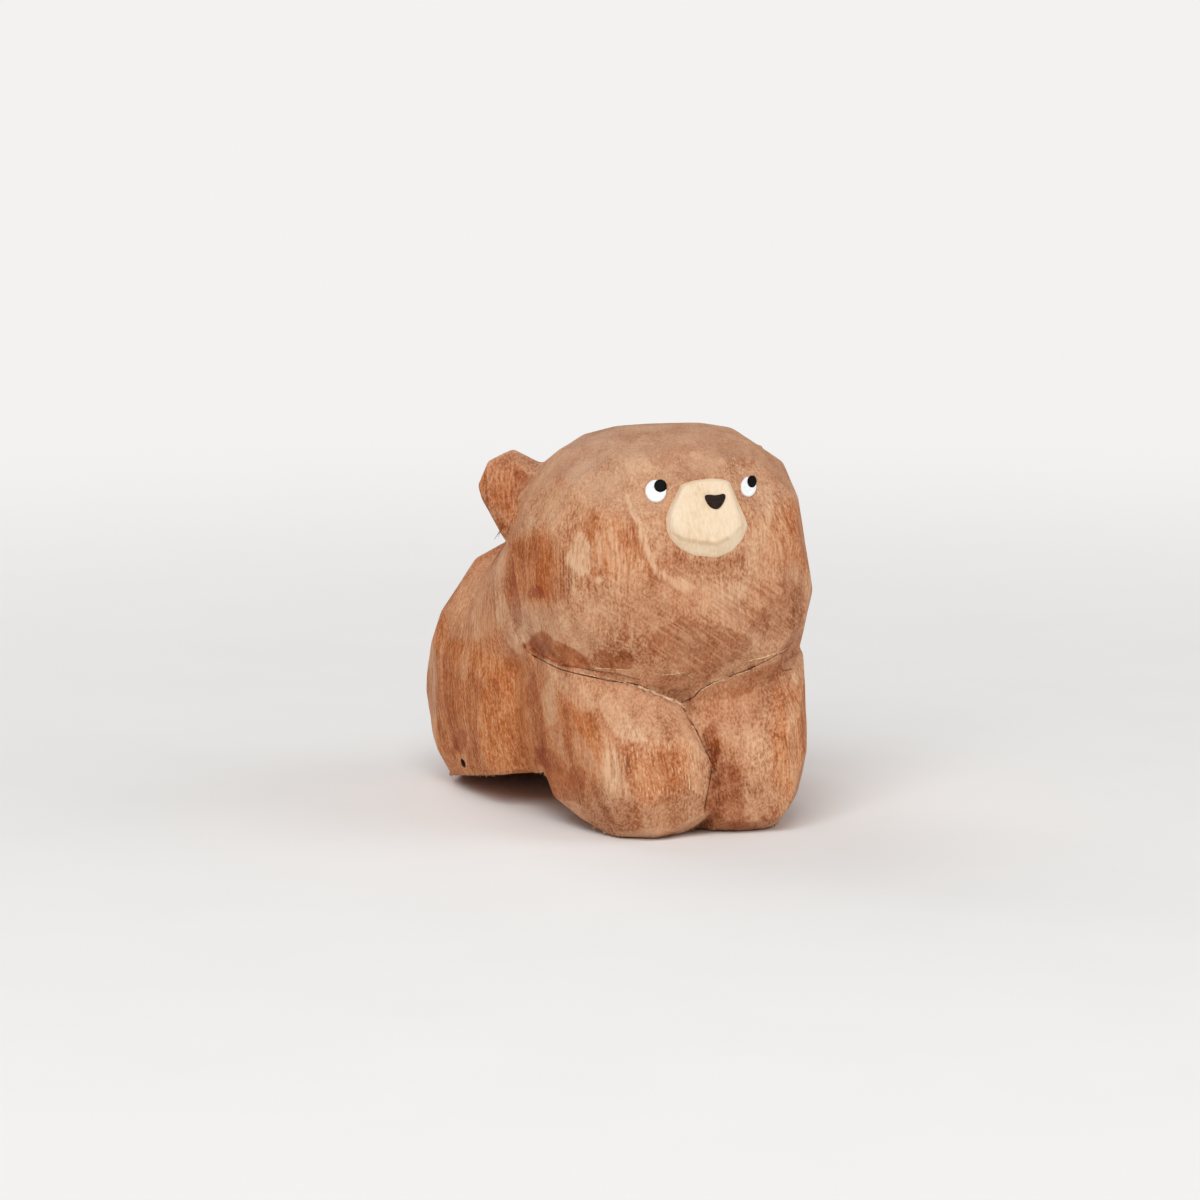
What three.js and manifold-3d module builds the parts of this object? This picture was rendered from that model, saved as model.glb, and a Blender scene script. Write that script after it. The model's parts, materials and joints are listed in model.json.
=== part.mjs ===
// A hand-carved wooden bear, sitting up on its two forepaws and the back edge of its flat underside.
// Millimetres, +Z up. The bear faces -Y and its right side is -X. It leans back as it does on a table,
// and the origin is on the table, under the middle of the bear.
import * as THREE from "three";
import { mergeVertices } from "three/addons/utils/BufferGeometryUtils.js";
import Module from "manifold-3d";

const wasm = await Module();
wasm.setup();

// Driving dimensions, taken before the figure leans back: depths run towards the back, and heights are
// above the point where the flat underside, called the seat, has depth zero. Angles are in degrees. A form
// reaches a given way to the front, the back, up and down from its middle, and a higher squareness makes
// it more like a box.

// Glue joints and dowels
const GLUE_GAP = 0.3;
const NECK_DEPTH = -7;
const NECK_LEAN = 18;
const DOWEL_CLEARANCE = 0.15;
const NECK_DOWEL_DIAMETER = 6;
const NECK_DOWEL_LENGTH = 20;
const NECK_DOWEL_HEIGHT = 26;
const LEG_DOWEL_DIAMETER = 4;
const LEG_DOWEL_LENGTH = 12;
const LEG_DOWEL_HEIGHT = 4;
const EAR_DOWEL_DIAMETER = 2.4;
const EAR_DOWEL_LENGTH = 9;
const EAR_DOWEL_COVER = 2;

// Head
const HEAD_WIDTH = 40.5;
const HEAD_FRONT = 20;
const HEAD_BACK = 15;
const HEAD_UP = 20;
const HEAD_DOWN = 20;
const HEAD_DEPTH = -10;
const HEAD_HEIGHT = 27.9;
const HEAD_PLAN_SQUARENESS = 2.5;
const HEAD_SIDE_SQUARENESS = 2.35;
const HEAD_FACET = 7;

// Torso
const TORSO_WIDTH = 43;
const TORSO_FRONT = 15;
const TORSO_BACK = 22;
const TORSO_UP = 20;
const TORSO_DOWN = 26;
const TORSO_DEPTH = 12;
const TORSO_HEIGHT = 12.4;
const TORSO_LEAN = -12;
const TORSO_PLAN_SQUARENESS = 3.5;
const TORSO_SIDE_SQUARENESS = 2.25;
const TORSO_FACET = 8.5;
const SEAT_SLOPE = 3;

// Forelegs
const LEG_WIDTH = 20;
const LEG_FRONT = 9.5;
const LEG_BACK = 22;
const LEG_UP = 20;
const LEG_DOWN = 16;
const LEG_SPREAD = 7.6;
const LEG_DEPTH = -15.5;
const LEG_HEIGHT = 6;
const LEG_LEAN = 22;
const LEG_SPLAY = 11;
const LEG_PLAN_SQUARENESS = 2.8;
const LEG_SIDE_SQUARENESS = 2.5;
const LEG_FACET = 6;
const PAW_DROP = 8.2;
const PAW_DEPTH = -19.5;
const SOLE_RISE = 26;
const GROUND_FLAT = 0.3;

// Ears, with their depth and height from the middle of the head
const EAR_WIDTH = 11.5;
const EAR_THICKNESS = 7;
const EAR_LENGTH = 14;
const EAR_SINK = 2.5;
const EAR_DEPTH = 6.5;
const EAR_HEIGHT = 9.4;
const EAR_ANGLE = 55;
const EAR_PLAN_SQUARENESS = 2.6;
const EAR_SIDE_SQUARENESS = 2.1;
const EAR_FACET = 4.5;

// Muzzle and nose
const MUZZLE_RISE = 7.2;
const MUZZLE_SEAT = 0.5;
const MUZZLE_THICKNESS = 2.6;
const MUZZLE_BEVEL = 1.2;
const MUZZLE_TOP_WIDTH = 6.6;
const MUZZLE_WIDTH = 12.2;
const MUZZLE_CHIN_WIDTH = 5.6;
const MUZZLE_ABOVE = 5.2;
const MUZZLE_CHEEK = 1.2;
const MUZZLE_BELOW = 4.9;
const NOSE_WIDTH = 2.9;
const NOSE_HEIGHT = 2.2;
const NOSE_CORNER = 0.45;
const NOSE_ABOVE = 1.4;

// Eyes and paint
const EYE_SPREAD = 6.9;
const EYE_RISE = 11.3;
const EYE_DIAMETER = 3.2;
const EYE_SEAT = 0.3;
const PUPIL_DIAMETER = 1.75;
const PUPIL_ASIDE = 0.75;
const PUPIL_ABOVE = 0.6;
const PAINT = 0.35;
const PAINT_GAP = 0.1;

const RIGHT = -1;
const LEFT = 1;
const UP = new THREE.Vector3(0, 0, 1);
const DOWN = new THREE.Vector3(0, 0, -1);
const ACROSS = new THREE.Vector3(1, 0, 0);
const BACKWARD = new THREE.Vector3(0, 1, 0);
const WASTE = 4 * HEAD_WIDTH;
const ROUND_SIDES = 32;
const GOLDEN_ANGLE = Math.PI * (3 - Math.sqrt(5));
const degrees = THREE.MathUtils.degToRad;

// A closed three.js geometry as a solid that can be cut and joined.
function solidOf(geometry) {
  const bare = geometry.clone();
  bare.deleteAttribute("normal");
  bare.deleteAttribute("uv");
  const merged = mergeVertices(bare);
  const triVerts = new Uint32Array(merged.index.array);
  const vertProperties = merged.attributes.position.array;
  return new wasm.Manifold(new wasm.Mesh({ numProp: 3, vertProperties, triVerts }));
}

// A solid as a three.js geometry.
function geometryOf(solid) {
  const mesh = solid.getMesh();
  const geometry = new THREE.BufferGeometry();
  geometry.setAttribute("position", new THREE.BufferAttribute(mesh.vertProperties, 3));
  geometry.setIndex(new THREE.BufferAttribute(mesh.triVerts, 1));
  return geometry;
}

// All the wood on the far side of a flat cut through a point, out along the cut's normal.
function waste(point, normal) {
  const block = new THREE.BoxGeometry(WASTE, WASTE, WASTE).translate(0, 0, WASTE / 2);
  block.applyQuaternion(new THREE.Quaternion().setFromUnitVectors(UP, normal));
  return solidOf(block.translate(point.x, point.y, point.z));
}

// A direction in the bear's middle plane, turned down from straight back by an angle.
function backTurnedDown(angle) {
  return new THREE.Vector3(0, Math.cos(degrees(angle)), -Math.sin(degrees(angle)));
}

// How far a form reaches on the sides that a direction points to.
function reach(form, direction) {
  return new THREE.Vector3(
    form.width / 2,
    direction.y < 0 ? form.front : form.back,
    direction.z < 0 ? form.down : form.up,
  );
}

// The point where a direction from the middle of a form meets its rounded surface.
function surfacePoint(form, direction) {
  const { x, y, z } = direction.clone().divide(reach(form, direction));
  const { plan, side } = form.squareness;
  const ring = (Math.abs(x) ** plan + Math.abs(y) ** plan) ** (1 / plan);
  const size = (ring ** side + Math.abs(z) ** side) ** (1 / side);
  return direction.clone().divideScalar(size);
}

// The outward normal of a form at a point of its rounded surface.
function surfaceNormal(form, point) {
  const half = reach(form, point);
  const { x, y, z } = point.clone().divide(half);
  const { plan, side } = form.squareness;
  const ring = (Math.abs(x) ** plan + Math.abs(y) ** plan) ** (1 / plan);
  const slope = (share, power) => Math.sign(share) * Math.abs(share) ** (power - 1);
  const around = ring ** (side - plan);
  return new THREE.Vector3(around * slope(x, plan), around * slope(y, plan), slope(z, side))
    .divide(half)
    .normalize();
}

// Knife cuts spread evenly over a form along a spiral, as many as its facets need.
function knifeDirections(form) {
  const size = (form.width + form.front + form.back + form.up + form.down) / 3;
  const count = Math.round((Math.PI * size ** 2) / form.facet ** 2);
  return Array.from({ length: count }, (_, i) => {
    const height = 1 - (2 * i + 1) / count;
    const ring = Math.sqrt(1 - height ** 2);
    const turn = i * GOLDEN_ANGLE;
    return new THREE.Vector3(ring * Math.cos(turn), ring * Math.sin(turn), height);
  });
}

// A form cut from a block by flat knife cuts, or the same form grown by a gap all round.
function carve(form, grow = 0) {
  const block = new THREE.BoxGeometry(
    form.width + 2 * grow,
    form.front + form.back + 2 * grow,
    form.up + form.down + 2 * grow,
  ).translate(0, (form.back - form.front) / 2, (form.up - form.down) / 2);
  let wood = solidOf(block.applyMatrix4(form.place));
  for (const direction of knifeDirections(form)) {
    const point = surfacePoint(form, direction);
    const normal = surfaceNormal(form, point);
    point.addScaledVector(normal, grow).applyMatrix4(form.place);
    wood = wood.subtract(waste(point, normal.transformDirection(form.place)));
  }
  return wood;
}

// Where a form stands: its middle, its lean about the bear's width and its turn about its depth.
function placeAt(x, y, z, lean = 0, turn = 0) {
  const angles = new THREE.Euler(-degrees(lean), degrees(turn), 0);
  return new THREE.Matrix4().makeRotationFromEuler(angles).setPosition(x, y, z);
}

const headForm = {
  width: HEAD_WIDTH,
  front: HEAD_FRONT,
  back: HEAD_BACK,
  up: HEAD_UP,
  down: HEAD_DOWN,
  squareness: { plan: HEAD_PLAN_SQUARENESS, side: HEAD_SIDE_SQUARENESS },
  facet: HEAD_FACET,
  place: placeAt(0, HEAD_DEPTH, HEAD_HEIGHT),
};

const torsoForm = {
  width: TORSO_WIDTH,
  front: TORSO_FRONT,
  back: TORSO_BACK,
  up: TORSO_UP,
  down: TORSO_DOWN,
  squareness: { plan: TORSO_PLAN_SQUARENESS, side: TORSO_SIDE_SQUARENESS },
  facet: TORSO_FACET,
  place: placeAt(0, TORSO_DEPTH, TORSO_HEIGHT, TORSO_LEAN),
};

const legForm = (hand) => ({
  width: LEG_WIDTH,
  front: LEG_FRONT,
  back: LEG_BACK,
  up: LEG_UP,
  down: LEG_DOWN,
  squareness: { plan: LEG_PLAN_SQUARENESS, side: LEG_SIDE_SQUARENESS },
  facet: LEG_FACET,
  place: placeAt(hand * LEG_SPREAD, LEG_DEPTH, LEG_HEIGHT, LEG_LEAN, hand * LEG_SPLAY),
});

// Half the head's width at the middle of an ear
function headAtEar() {
  const { plan, side } = headForm.squareness;
  const ring = (1 - (EAR_HEIGHT / HEAD_UP) ** side) ** (1 / side);
  return (HEAD_WIDTH / 2) * (ring ** plan - (EAR_DEPTH / HEAD_BACK) ** plan) ** (1 / plan);
}

const earPlace = (hand) =>
  placeAt(
    hand * (headAtEar() - EAR_SINK),
    HEAD_DEPTH + EAR_DEPTH,
    HEAD_HEIGHT + EAR_HEIGHT,
    0,
    hand * EAR_ANGLE,
  );

const earForm = (hand) => ({
  width: EAR_WIDTH,
  front: EAR_THICKNESS / 2,
  back: EAR_THICKNESS / 2,
  up: EAR_LENGTH / 2,
  down: EAR_LENGTH / 2,
  squareness: { plan: EAR_PLAN_SQUARENESS, side: EAR_SIDE_SQUARENESS },
  facet: EAR_FACET,
  place: earPlace(hand),
});

// Round dowels, each in a hole with its clearance
function dowel(diameter, length, middle, axis) {
  const turn = new THREE.Quaternion().setFromUnitVectors(BACKWARD, axis);
  const rod = (grow) =>
    new THREE.CylinderGeometry(diameter / 2 + grow, diameter / 2 + grow, length + 2 * grow, ROUND_SIDES);
  const hole = rod(DOWEL_CLEARANCE).applyQuaternion(turn).translate(middle.x, middle.y, middle.z);
  return { geometry: rod(0), middle, turn, hole: solidOf(hole) };
}

// The glue plane between the front blanks and the torso blank, leaning back at the top
const neckNormal = backTurnedDown(NECK_LEAN);
const neckPoint = (x, height) =>
  new THREE.Vector3(x, NECK_DEPTH + height * Math.tan(degrees(NECK_LEAN)), height);
const neckDowel = dowel(NECK_DOWEL_DIAMETER, NECK_DOWEL_LENGTH, neckPoint(0, NECK_DOWEL_HEIGHT), neckNormal);
const legDowel = (hand) =>
  dowel(LEG_DOWEL_DIAMETER, LEG_DOWEL_LENGTH, neckPoint(hand * LEG_SPREAD, LEG_DOWEL_HEIGHT), BACKWARD);
const earDowel = (hand) => {
  const axis = UP.clone().transformDirection(earForm(hand).place);
  const outward = EAR_LENGTH / 2 - EAR_DOWEL_COVER - EAR_DOWEL_LENGTH / 2;
  const middle = new THREE.Vector3(0, 0, outward).applyMatrix4(earForm(hand).place);
  return dowel(EAR_DOWEL_DIAMETER, EAR_DOWEL_LENGTH, middle, axis);
};
const legDowels = { [RIGHT]: legDowel(RIGHT), [LEFT]: legDowel(LEFT) };
const earDowels = { [RIGHT]: earDowel(RIGHT), [LEFT]: earDowel(LEFT) };

const inFrontOfNeck = waste(
  neckPoint(0, 0).addScaledVector(neckNormal, GLUE_GAP / 2),
  neckNormal.clone().negate(),
);
const behindNeck = waste(neckPoint(0, 0).addScaledVector(neckNormal, -GLUE_GAP / 2), neckNormal);
const belowSeat = waste(new THREE.Vector3(), backTurnedDown(90 + SEAT_SLOPE));

// The face: flat cuts for the muzzle and the eyes, each square to the head's rounded surface
function faceCut(x, rise, depth) {
  const { plan, side } = headForm.squareness;
  const ring = (1 - (rise / HEAD_UP) ** side) ** (1 / side);
  const share = (ring ** plan - Math.abs((2 * x) / HEAD_WIDTH) ** plan) ** (1 / plan);
  const point = new THREE.Vector3(x, -HEAD_FRONT * share, rise);
  const normal = surfaceNormal(headForm, point);
  return { point: point.addScaledVector(normal, -depth).applyMatrix4(headForm.place), normal };
}

const muzzleCut = faceCut(0, MUZZLE_RISE, MUZZLE_SEAT);
const eyeCuts = {
  [RIGHT]: faceCut(RIGHT * EYE_SPREAD, EYE_RISE, EYE_SEAT),
  [LEFT]: faceCut(LEFT * EYE_SPREAD, EYE_RISE, EYE_SEAT),
};

// The carved pieces, before the ground cut
const wholeHead = carve(headForm);
const grownHead = carve(headForm, GLUE_GAP);
const wholeLegs = { [RIGHT]: carve(legForm(RIGHT)), [LEFT]: carve(legForm(LEFT)) };

const uncutTorso = carve(torsoForm)
  .add(wholeHead)
  .add(wholeLegs[RIGHT])
  .add(wholeLegs[LEFT])
  .subtract(inFrontOfNeck)
  .subtract(belowSeat)
  .subtract(neckDowel.hole)
  .subtract(legDowels[RIGHT].hole)
  .subtract(legDowels[LEFT].hole);

const head = wholeHead
  .subtract(behindNeck)
  .subtract(waste(muzzleCut.point, muzzleCut.normal))
  .subtract(waste(eyeCuts[RIGHT].point, eyeCuts[RIGHT].normal))
  .subtract(waste(eyeCuts[LEFT].point, eyeCuts[LEFT].normal))
  .subtract(neckDowel.hole)
  .subtract(earDowels[RIGHT].hole)
  .subtract(earDowels[LEFT].hole);

const paw = new THREE.Vector3(0, PAW_DEPTH, -PAW_DROP);
const belowSole = waste(paw, backTurnedDown(90 - SOLE_RISE));

function uncutForeleg(hand) {
  const split = new THREE.Vector3((hand * GLUE_GAP) / 2, 0, 0);
  return wholeLegs[hand]
    .subtract(grownHead)
    .subtract(behindNeck)
    .subtract(waste(split, new THREE.Vector3(-hand, 0, 0)))
    .subtract(belowSole)
    .subtract(legDowels[hand].hole);
}

const grownTorso = carve(torsoForm, GLUE_GAP);
const ear = (hand) =>
  carve(earForm(hand)).subtract(grownHead).subtract(grownTorso).subtract(earDowels[hand].hole);

// The lean that sets the paws and the back edge of the seat down on the table together: of all the
// torso's corners, the one seen lowest from the paws is the first to meet the table.
function leanOnPaws() {
  const { position } = geometryOf(uncutTorso).attributes;
  const corner = new THREE.Vector3();
  const angles = Array.from({ length: position.count }, (_, i) => {
    corner.fromBufferAttribute(position, i).sub(paw);
    return Math.atan2(corner.z, corner.y);
  });
  return THREE.MathUtils.radToDeg(Math.min(...angles));
}

const lean = leanOnPaws();
const groundNormal = backTurnedDown(90 - lean);
const belowGround = waste(paw.clone().addScaledVector(groundNormal, -GROUND_FLAT), groundNormal);
const torso = uncutTorso.subtract(belowGround);
const foreleg = (hand) => uncutForeleg(hand).subtract(belowGround);

// Muzzle and nose outlines, seen from the front
function muzzleOutline() {
  const half = { top: MUZZLE_TOP_WIDTH / 2, wide: MUZZLE_WIDTH / 2, chin: MUZZLE_CHIN_WIDTH / 2 };
  return new THREE.Shape()
    .moveTo(-half.top, MUZZLE_ABOVE)
    .lineTo(half.top, MUZZLE_ABOVE)
    .splineThru([
      new THREE.Vector2(half.wide, -MUZZLE_CHEEK),
      new THREE.Vector2(half.chin, -MUZZLE_BELOW),
      new THREE.Vector2(-half.chin, -MUZZLE_BELOW),
      new THREE.Vector2(-half.wide, -MUZZLE_CHEEK),
      new THREE.Vector2(-half.top, MUZZLE_ABOVE),
    ]);
}

function noseOutline() {
  const across = NOSE_WIDTH / 2 - NOSE_CORNER;
  const tall = NOSE_HEIGHT / 2 - NOSE_CORNER;
  const flank = -Math.atan2(across, 2 * tall);
  return new THREE.Shape()
    .absarc(-across, tall, NOSE_CORNER, Math.PI - flank, Math.PI / 2, true)
    .absarc(across, tall, NOSE_CORNER, Math.PI / 2, flank, true)
    .absarc(0, -tall, NOSE_CORNER, flank, -Math.PI - flank, true);
}

function muzzleGeometry() {
  const pad = new THREE.ExtrudeGeometry(muzzleOutline(), {
    depth: MUZZLE_THICKNESS,
    bevelThickness: MUZZLE_BEVEL,
    bevelSize: MUZZLE_BEVEL,
    bevelOffset: -MUZZLE_BEVEL,
  }).translate(0, 0, -MUZZLE_BEVEL);
  return geometryOf(solidOf(pad).subtract(waste(new THREE.Vector3(), DOWN)));
}

const noseGeometry = () => new THREE.ExtrudeGeometry(noseOutline(), { depth: PAINT, bevelEnabled: false });
const dotGeometry = (diameter) =>
  new THREE.CylinderGeometry(diameter / 2, diameter / 2, PAINT, ROUND_SIDES)
    .rotateX(Math.PI / 2)
    .translate(0, 0, PAINT / 2);

// Colours and finishes
const finishes = {
  wood: { color: 0xb07a52, roughness: 0.62, metalness: 0 },
  dowel: { color: 0xd9bd94, roughness: 0.8, metalness: 0 },
  cream: { color: 0xf2dcbe, roughness: 0.7, metalness: 0 },
  white: { color: 0xf5f6f7, roughness: 0.55, metalness: 0 },
  black: { color: 0x1e1716, roughness: 0.45, metalness: 0 },
};

function piece(name, geometry, finish) {
  const mesh = new THREE.Mesh(geometry, new THREE.MeshStandardMaterial(finishes[finish]));
  mesh.name = name;
  return mesh;
}

const carved = (name, solid) => piece(name, geometryOf(solid), "wood");

function pin(name, { geometry, middle, turn }) {
  const mesh = piece(name, geometry, "dowel");
  mesh.position.copy(middle);
  mesh.quaternion.copy(turn);
  return mesh;
}

// A piece on a flat cut of the face, lifted off it and shifted aside and up in its plane.
function onFace(name, geometry, finish, { point, normal }, lift, aside = 0, above = 0) {
  const mesh = piece(name, geometry, finish);
  const across = ACROSS.clone().projectOnPlane(normal).normalize();
  const upward = normal.clone().cross(across);
  mesh.quaternion.setFromRotationMatrix(new THREE.Matrix4().makeBasis(across, upward, normal));
  mesh.position
    .copy(point)
    .addScaledVector(across, aside)
    .addScaledVector(upward, above)
    .addScaledVector(normal, lift);
  return mesh;
}

const bear = new THREE.Group();
bear.add(carved("torso", torso));
bear.add(carved("head", head));
bear.add(pin("neck_dowel", neckDowel));
bear.add(onFace("muzzle", muzzleGeometry(), "cream", muzzleCut, GLUE_GAP));
const noseLift = GLUE_GAP + MUZZLE_THICKNESS + PAINT_GAP;
bear.add(onFace("nose", noseGeometry(), "black", muzzleCut, noseLift, 0, NOSE_ABOVE));
for (const [side, hand] of [["right", RIGHT], ["left", LEFT]]) {
  const white = dotGeometry(EYE_DIAMETER);
  const pupil = dotGeometry(PUPIL_DIAMETER);
  const pupilLift = 2 * PAINT_GAP + PAINT;
  bear.add(carved(`${side}_foreleg`, foreleg(hand)));
  bear.add(pin(`${side}_foreleg_dowel`, legDowels[hand]));
  bear.add(carved(`${side}_ear`, ear(hand)));
  bear.add(pin(`${side}_ear_dowel`, earDowels[hand]));
  bear.add(onFace(`${side}_eye_white`, white, "white", eyeCuts[hand], PAINT_GAP));
  bear.add(onFace(`${side}_pupil`, pupil, "black", eyeCuts[hand], pupilLift, PUPIL_ASIDE, PUPIL_ABOVE));
}

// Lean the bear back and set it down on the table.
bear.rotation.x = -degrees(lean);
const figure = new THREE.Group();
figure.add(bear);
const box = new THREE.Box3().setFromObject(figure, true);
const middle = box.getCenter(new THREE.Vector3());
bear.position.set(-middle.x, -middle.y, -box.min.z);

export default figure;
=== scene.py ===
# %% [markdown]
# # A carved wooden bear
# The bear is a palm-sized figure that was cut from pale wood with a knife, rasped, stained brown and painted.
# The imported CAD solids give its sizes. They are loaded first and stay where they are, and each carved piece
# made below takes the place of one of them.

# %% Load the frame
import json
import math
import random

import bmesh
import bpy
import numpy as np
from mathutils import Matrix, Vector, kdtree, noise
from mathutils.bvhtree import BVHTree

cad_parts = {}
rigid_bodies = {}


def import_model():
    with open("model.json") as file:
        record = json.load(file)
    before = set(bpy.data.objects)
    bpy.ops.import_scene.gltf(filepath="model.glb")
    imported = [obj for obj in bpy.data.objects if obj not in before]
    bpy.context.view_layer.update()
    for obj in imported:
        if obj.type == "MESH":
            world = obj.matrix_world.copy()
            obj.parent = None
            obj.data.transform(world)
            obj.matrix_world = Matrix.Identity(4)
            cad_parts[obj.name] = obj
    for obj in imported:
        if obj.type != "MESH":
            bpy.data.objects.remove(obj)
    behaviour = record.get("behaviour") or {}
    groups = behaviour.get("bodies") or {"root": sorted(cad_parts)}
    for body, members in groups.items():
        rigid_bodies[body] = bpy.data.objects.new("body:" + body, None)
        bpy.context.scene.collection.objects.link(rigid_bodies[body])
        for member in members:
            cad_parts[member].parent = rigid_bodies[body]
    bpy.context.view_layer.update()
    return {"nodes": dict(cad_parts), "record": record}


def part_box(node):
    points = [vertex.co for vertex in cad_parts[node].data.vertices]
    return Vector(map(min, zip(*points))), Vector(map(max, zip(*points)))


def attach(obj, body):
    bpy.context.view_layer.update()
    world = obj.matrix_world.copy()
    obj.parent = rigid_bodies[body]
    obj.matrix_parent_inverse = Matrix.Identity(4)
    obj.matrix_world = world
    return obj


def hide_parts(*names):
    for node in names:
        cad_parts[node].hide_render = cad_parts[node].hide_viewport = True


for leftover in list(bpy.data.objects):
    bpy.data.objects.remove(leftover)
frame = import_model()
MM = 0.001

# %% [markdown]
# ## The camera
# The photograph was taken from a little above, at the bear's right front, with a long lens that hardly bends
# the shape. A camera at the same place lets the render be laid over the photograph. It also gives the line of
# sight through any pixel, so that a stain or a nick seen there can be put on the carved surface itself.

# %% Camera
PHOTO_PIXELS = 1200
FOCUS_PIXELS = 7000
SENSOR_WIDTH = 36
CAMERA_AT = Vector((-364.2, -891.7, 182.7)) * MM
CAMERA_TURN = math.radians(-22)
CAMERA_TILT = math.radians(9.1)

lens = bpy.data.cameras.new("photo_camera")
lens.sensor_width = SENSOR_WIDTH
lens.lens = SENSOR_WIDTH * FOCUS_PIXELS / PHOTO_PIXELS
camera = bpy.data.objects.new("photo_camera", lens)
camera.location = CAMERA_AT
camera.rotation_euler = (math.pi / 2 - CAMERA_TILT, 0, CAMERA_TURN)
bpy.context.scene.collection.objects.link(camera)
bpy.context.scene.camera = camera


def sight(pixel):
    """The direction in which the camera sees a pixel of the photograph."""
    across = pixel[0] - PHOTO_PIXELS / 2
    up = PHOTO_PIXELS / 2 - pixel[1]
    return camera.rotation_euler.to_matrix() @ Vector((across, up, -FOCUS_PIXELS)).normalized()


def on_plane(pixel, at, out):
    """Where the line of sight through a pixel meets a plane."""
    look = sight(pixel)
    return camera.location + look * ((at - camera.location).dot(out) / look.dot(out))


print("camera lens in mm:", lens.lens)

# %% [markdown]
# ## One block of wood
# On the real bear the knife runs from head to leg without a break, so the carved pieces have to meet without
# a visible seam. The six wooden solids are swollen until their glue gaps close, fused on a fine grid, and
# shrunk back. A Boolean union would be quicker, but it keeps every facet razor sharp and leaves no even mesh
# for sanding, while the grid gives small faces of one size everywhere. Before that, the right ear, the head
# and the torso are brought to the outline that the photograph shows: corners seen there are added to a convex
# hull, and planes through the camera pare off what lies outside. The left ear is moved a little, so that the
# head hides it as in the photograph. Two more cuts turn the cheeks outwards below the eyes, because the left
# eye looks narrow there.

# %% Fuse the six wooden solids
WOOD_NODES = ("torso", "head", "right_foreleg", "left_foreleg", "right_ear", "left_ear")
WELD = 0.001 * MM
BIG = 0.2
GLUE_REACH = 0.3 * MM
CARVING_GRID = 0.3 * MM
EYE_TURN = math.radians(21)
EYE_DEPTH = 0.25 * MM
OUTLINES = {
    "right_ear": ((545, 464), (511.5, 447), (486, 459.5), (475, 488), (481, 499), (495, 546)),
    "head": ((700, 421.5), (731, 426.5), (783.5, 461), (798.5, 497), (813.5, 590)),
    "torso": ((474, 559.5), (456.5, 587), (441.5, 611), (433, 640), (430, 665)),
}
FILLED_OUT = ("right_ear", "head")
LEFT_EAR_SHIFT = Vector((0.3, 1.3, -0.2)) * MM


def merged_copy(node):
    """A bmesh copy of a CAD node with its loose triangles joined up."""
    bm = bmesh.new()
    bm.from_mesh(frame["nodes"][node].data)
    bmesh.ops.remove_doubles(bm, verts=bm.verts[:], dist=WELD)
    bm.normal_update()
    return bm


def swell(bm, reach):
    """Moves every vertex out along its normal, or in where the reach is negative."""
    bm.normal_update()
    for vert in bm.verts:
        vert.co += vert.normal * reach
    bm.normal_update()


def largest_flat(node):
    """The middle and the normal of the biggest flat on a CAD node."""
    solid = merged_copy(node)
    flats = {}
    for face in solid.faces:
        key = tuple(round(value, 2) for value in face.normal)
        flats.setdefault(key, []).append((face.calc_area(), face.calc_center_median()))
    solid.free()
    key, parts = max(flats.items(), key=lambda flat: sum(area for area, _ in flat[1]))
    middle = sum((centre * area for area, centre in parts), Vector()) / sum(area for area, _ in parts)
    return middle, Vector(key).normalized()


def mesh_of(bm, name):
    """Turns a bmesh into a mesh and frees it."""
    mesh = bpy.data.meshes.new(name)
    bm.to_mesh(mesh)
    bm.free()
    return mesh


def stand(name, mesh):
    """Puts a mesh into the scene as an object at the origin."""
    obj = bpy.data.objects.new(name, mesh)
    bpy.context.scene.collection.objects.link(obj)
    return obj


def settled(obj):
    """Takes an object out of the scene and gives its mesh with the modifiers worked in."""
    graph = bpy.context.evaluated_depsgraph_get()
    mesh = bpy.data.meshes.new_from_object(obj.evaluated_get(graph))
    bpy.data.objects.remove(obj)
    return mesh


def fused(mesh, grid):
    """Fuses a mesh of overlapping solids into one skin of small even faces."""
    block = stand("block", mesh)
    fuse = block.modifiers.new("fuse", "REMESH")
    fuse.mode = "VOXEL"
    fuse.voxel_size = grid
    return settled(block)


def facing(turn, rise):
    """The direction that looks to the front, turned towards the bear's left and raised."""
    return Vector((math.sin(turn) * math.cos(rise), -math.cos(turn) * math.cos(rise), math.sin(rise)))


def hull_of(points):
    """The convex hull of some points as a closed bmesh."""
    hull = bmesh.new()
    for point in points:
        hull.verts.new(point)
    made = bmesh.ops.convex_hull(hull, input=hull.verts[:])
    spare = made["geom_interior"] + made["geom_unused"]
    inner = [item for item in spare if isinstance(item, bmesh.types.BMVert)]
    bmesh.ops.delete(hull, geom=list(set(inner)), context="VERTS")
    bmesh.ops.recalc_face_normals(hull, faces=hull.faces)
    return hull


def pare(bm, at, out):
    """Slices off what lies outside a plane and closes the cut."""
    bmesh.ops.bisect_plane(bm, geom=bm.verts[:] + bm.edges[:] + bm.faces[:], clear_outer=True,
                           plane_co=at, plane_no=out, dist=WELD)
    bmesh.ops.contextual_create(bm, geom=[edge for edge in bm.edges if edge.is_boundary])


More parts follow.
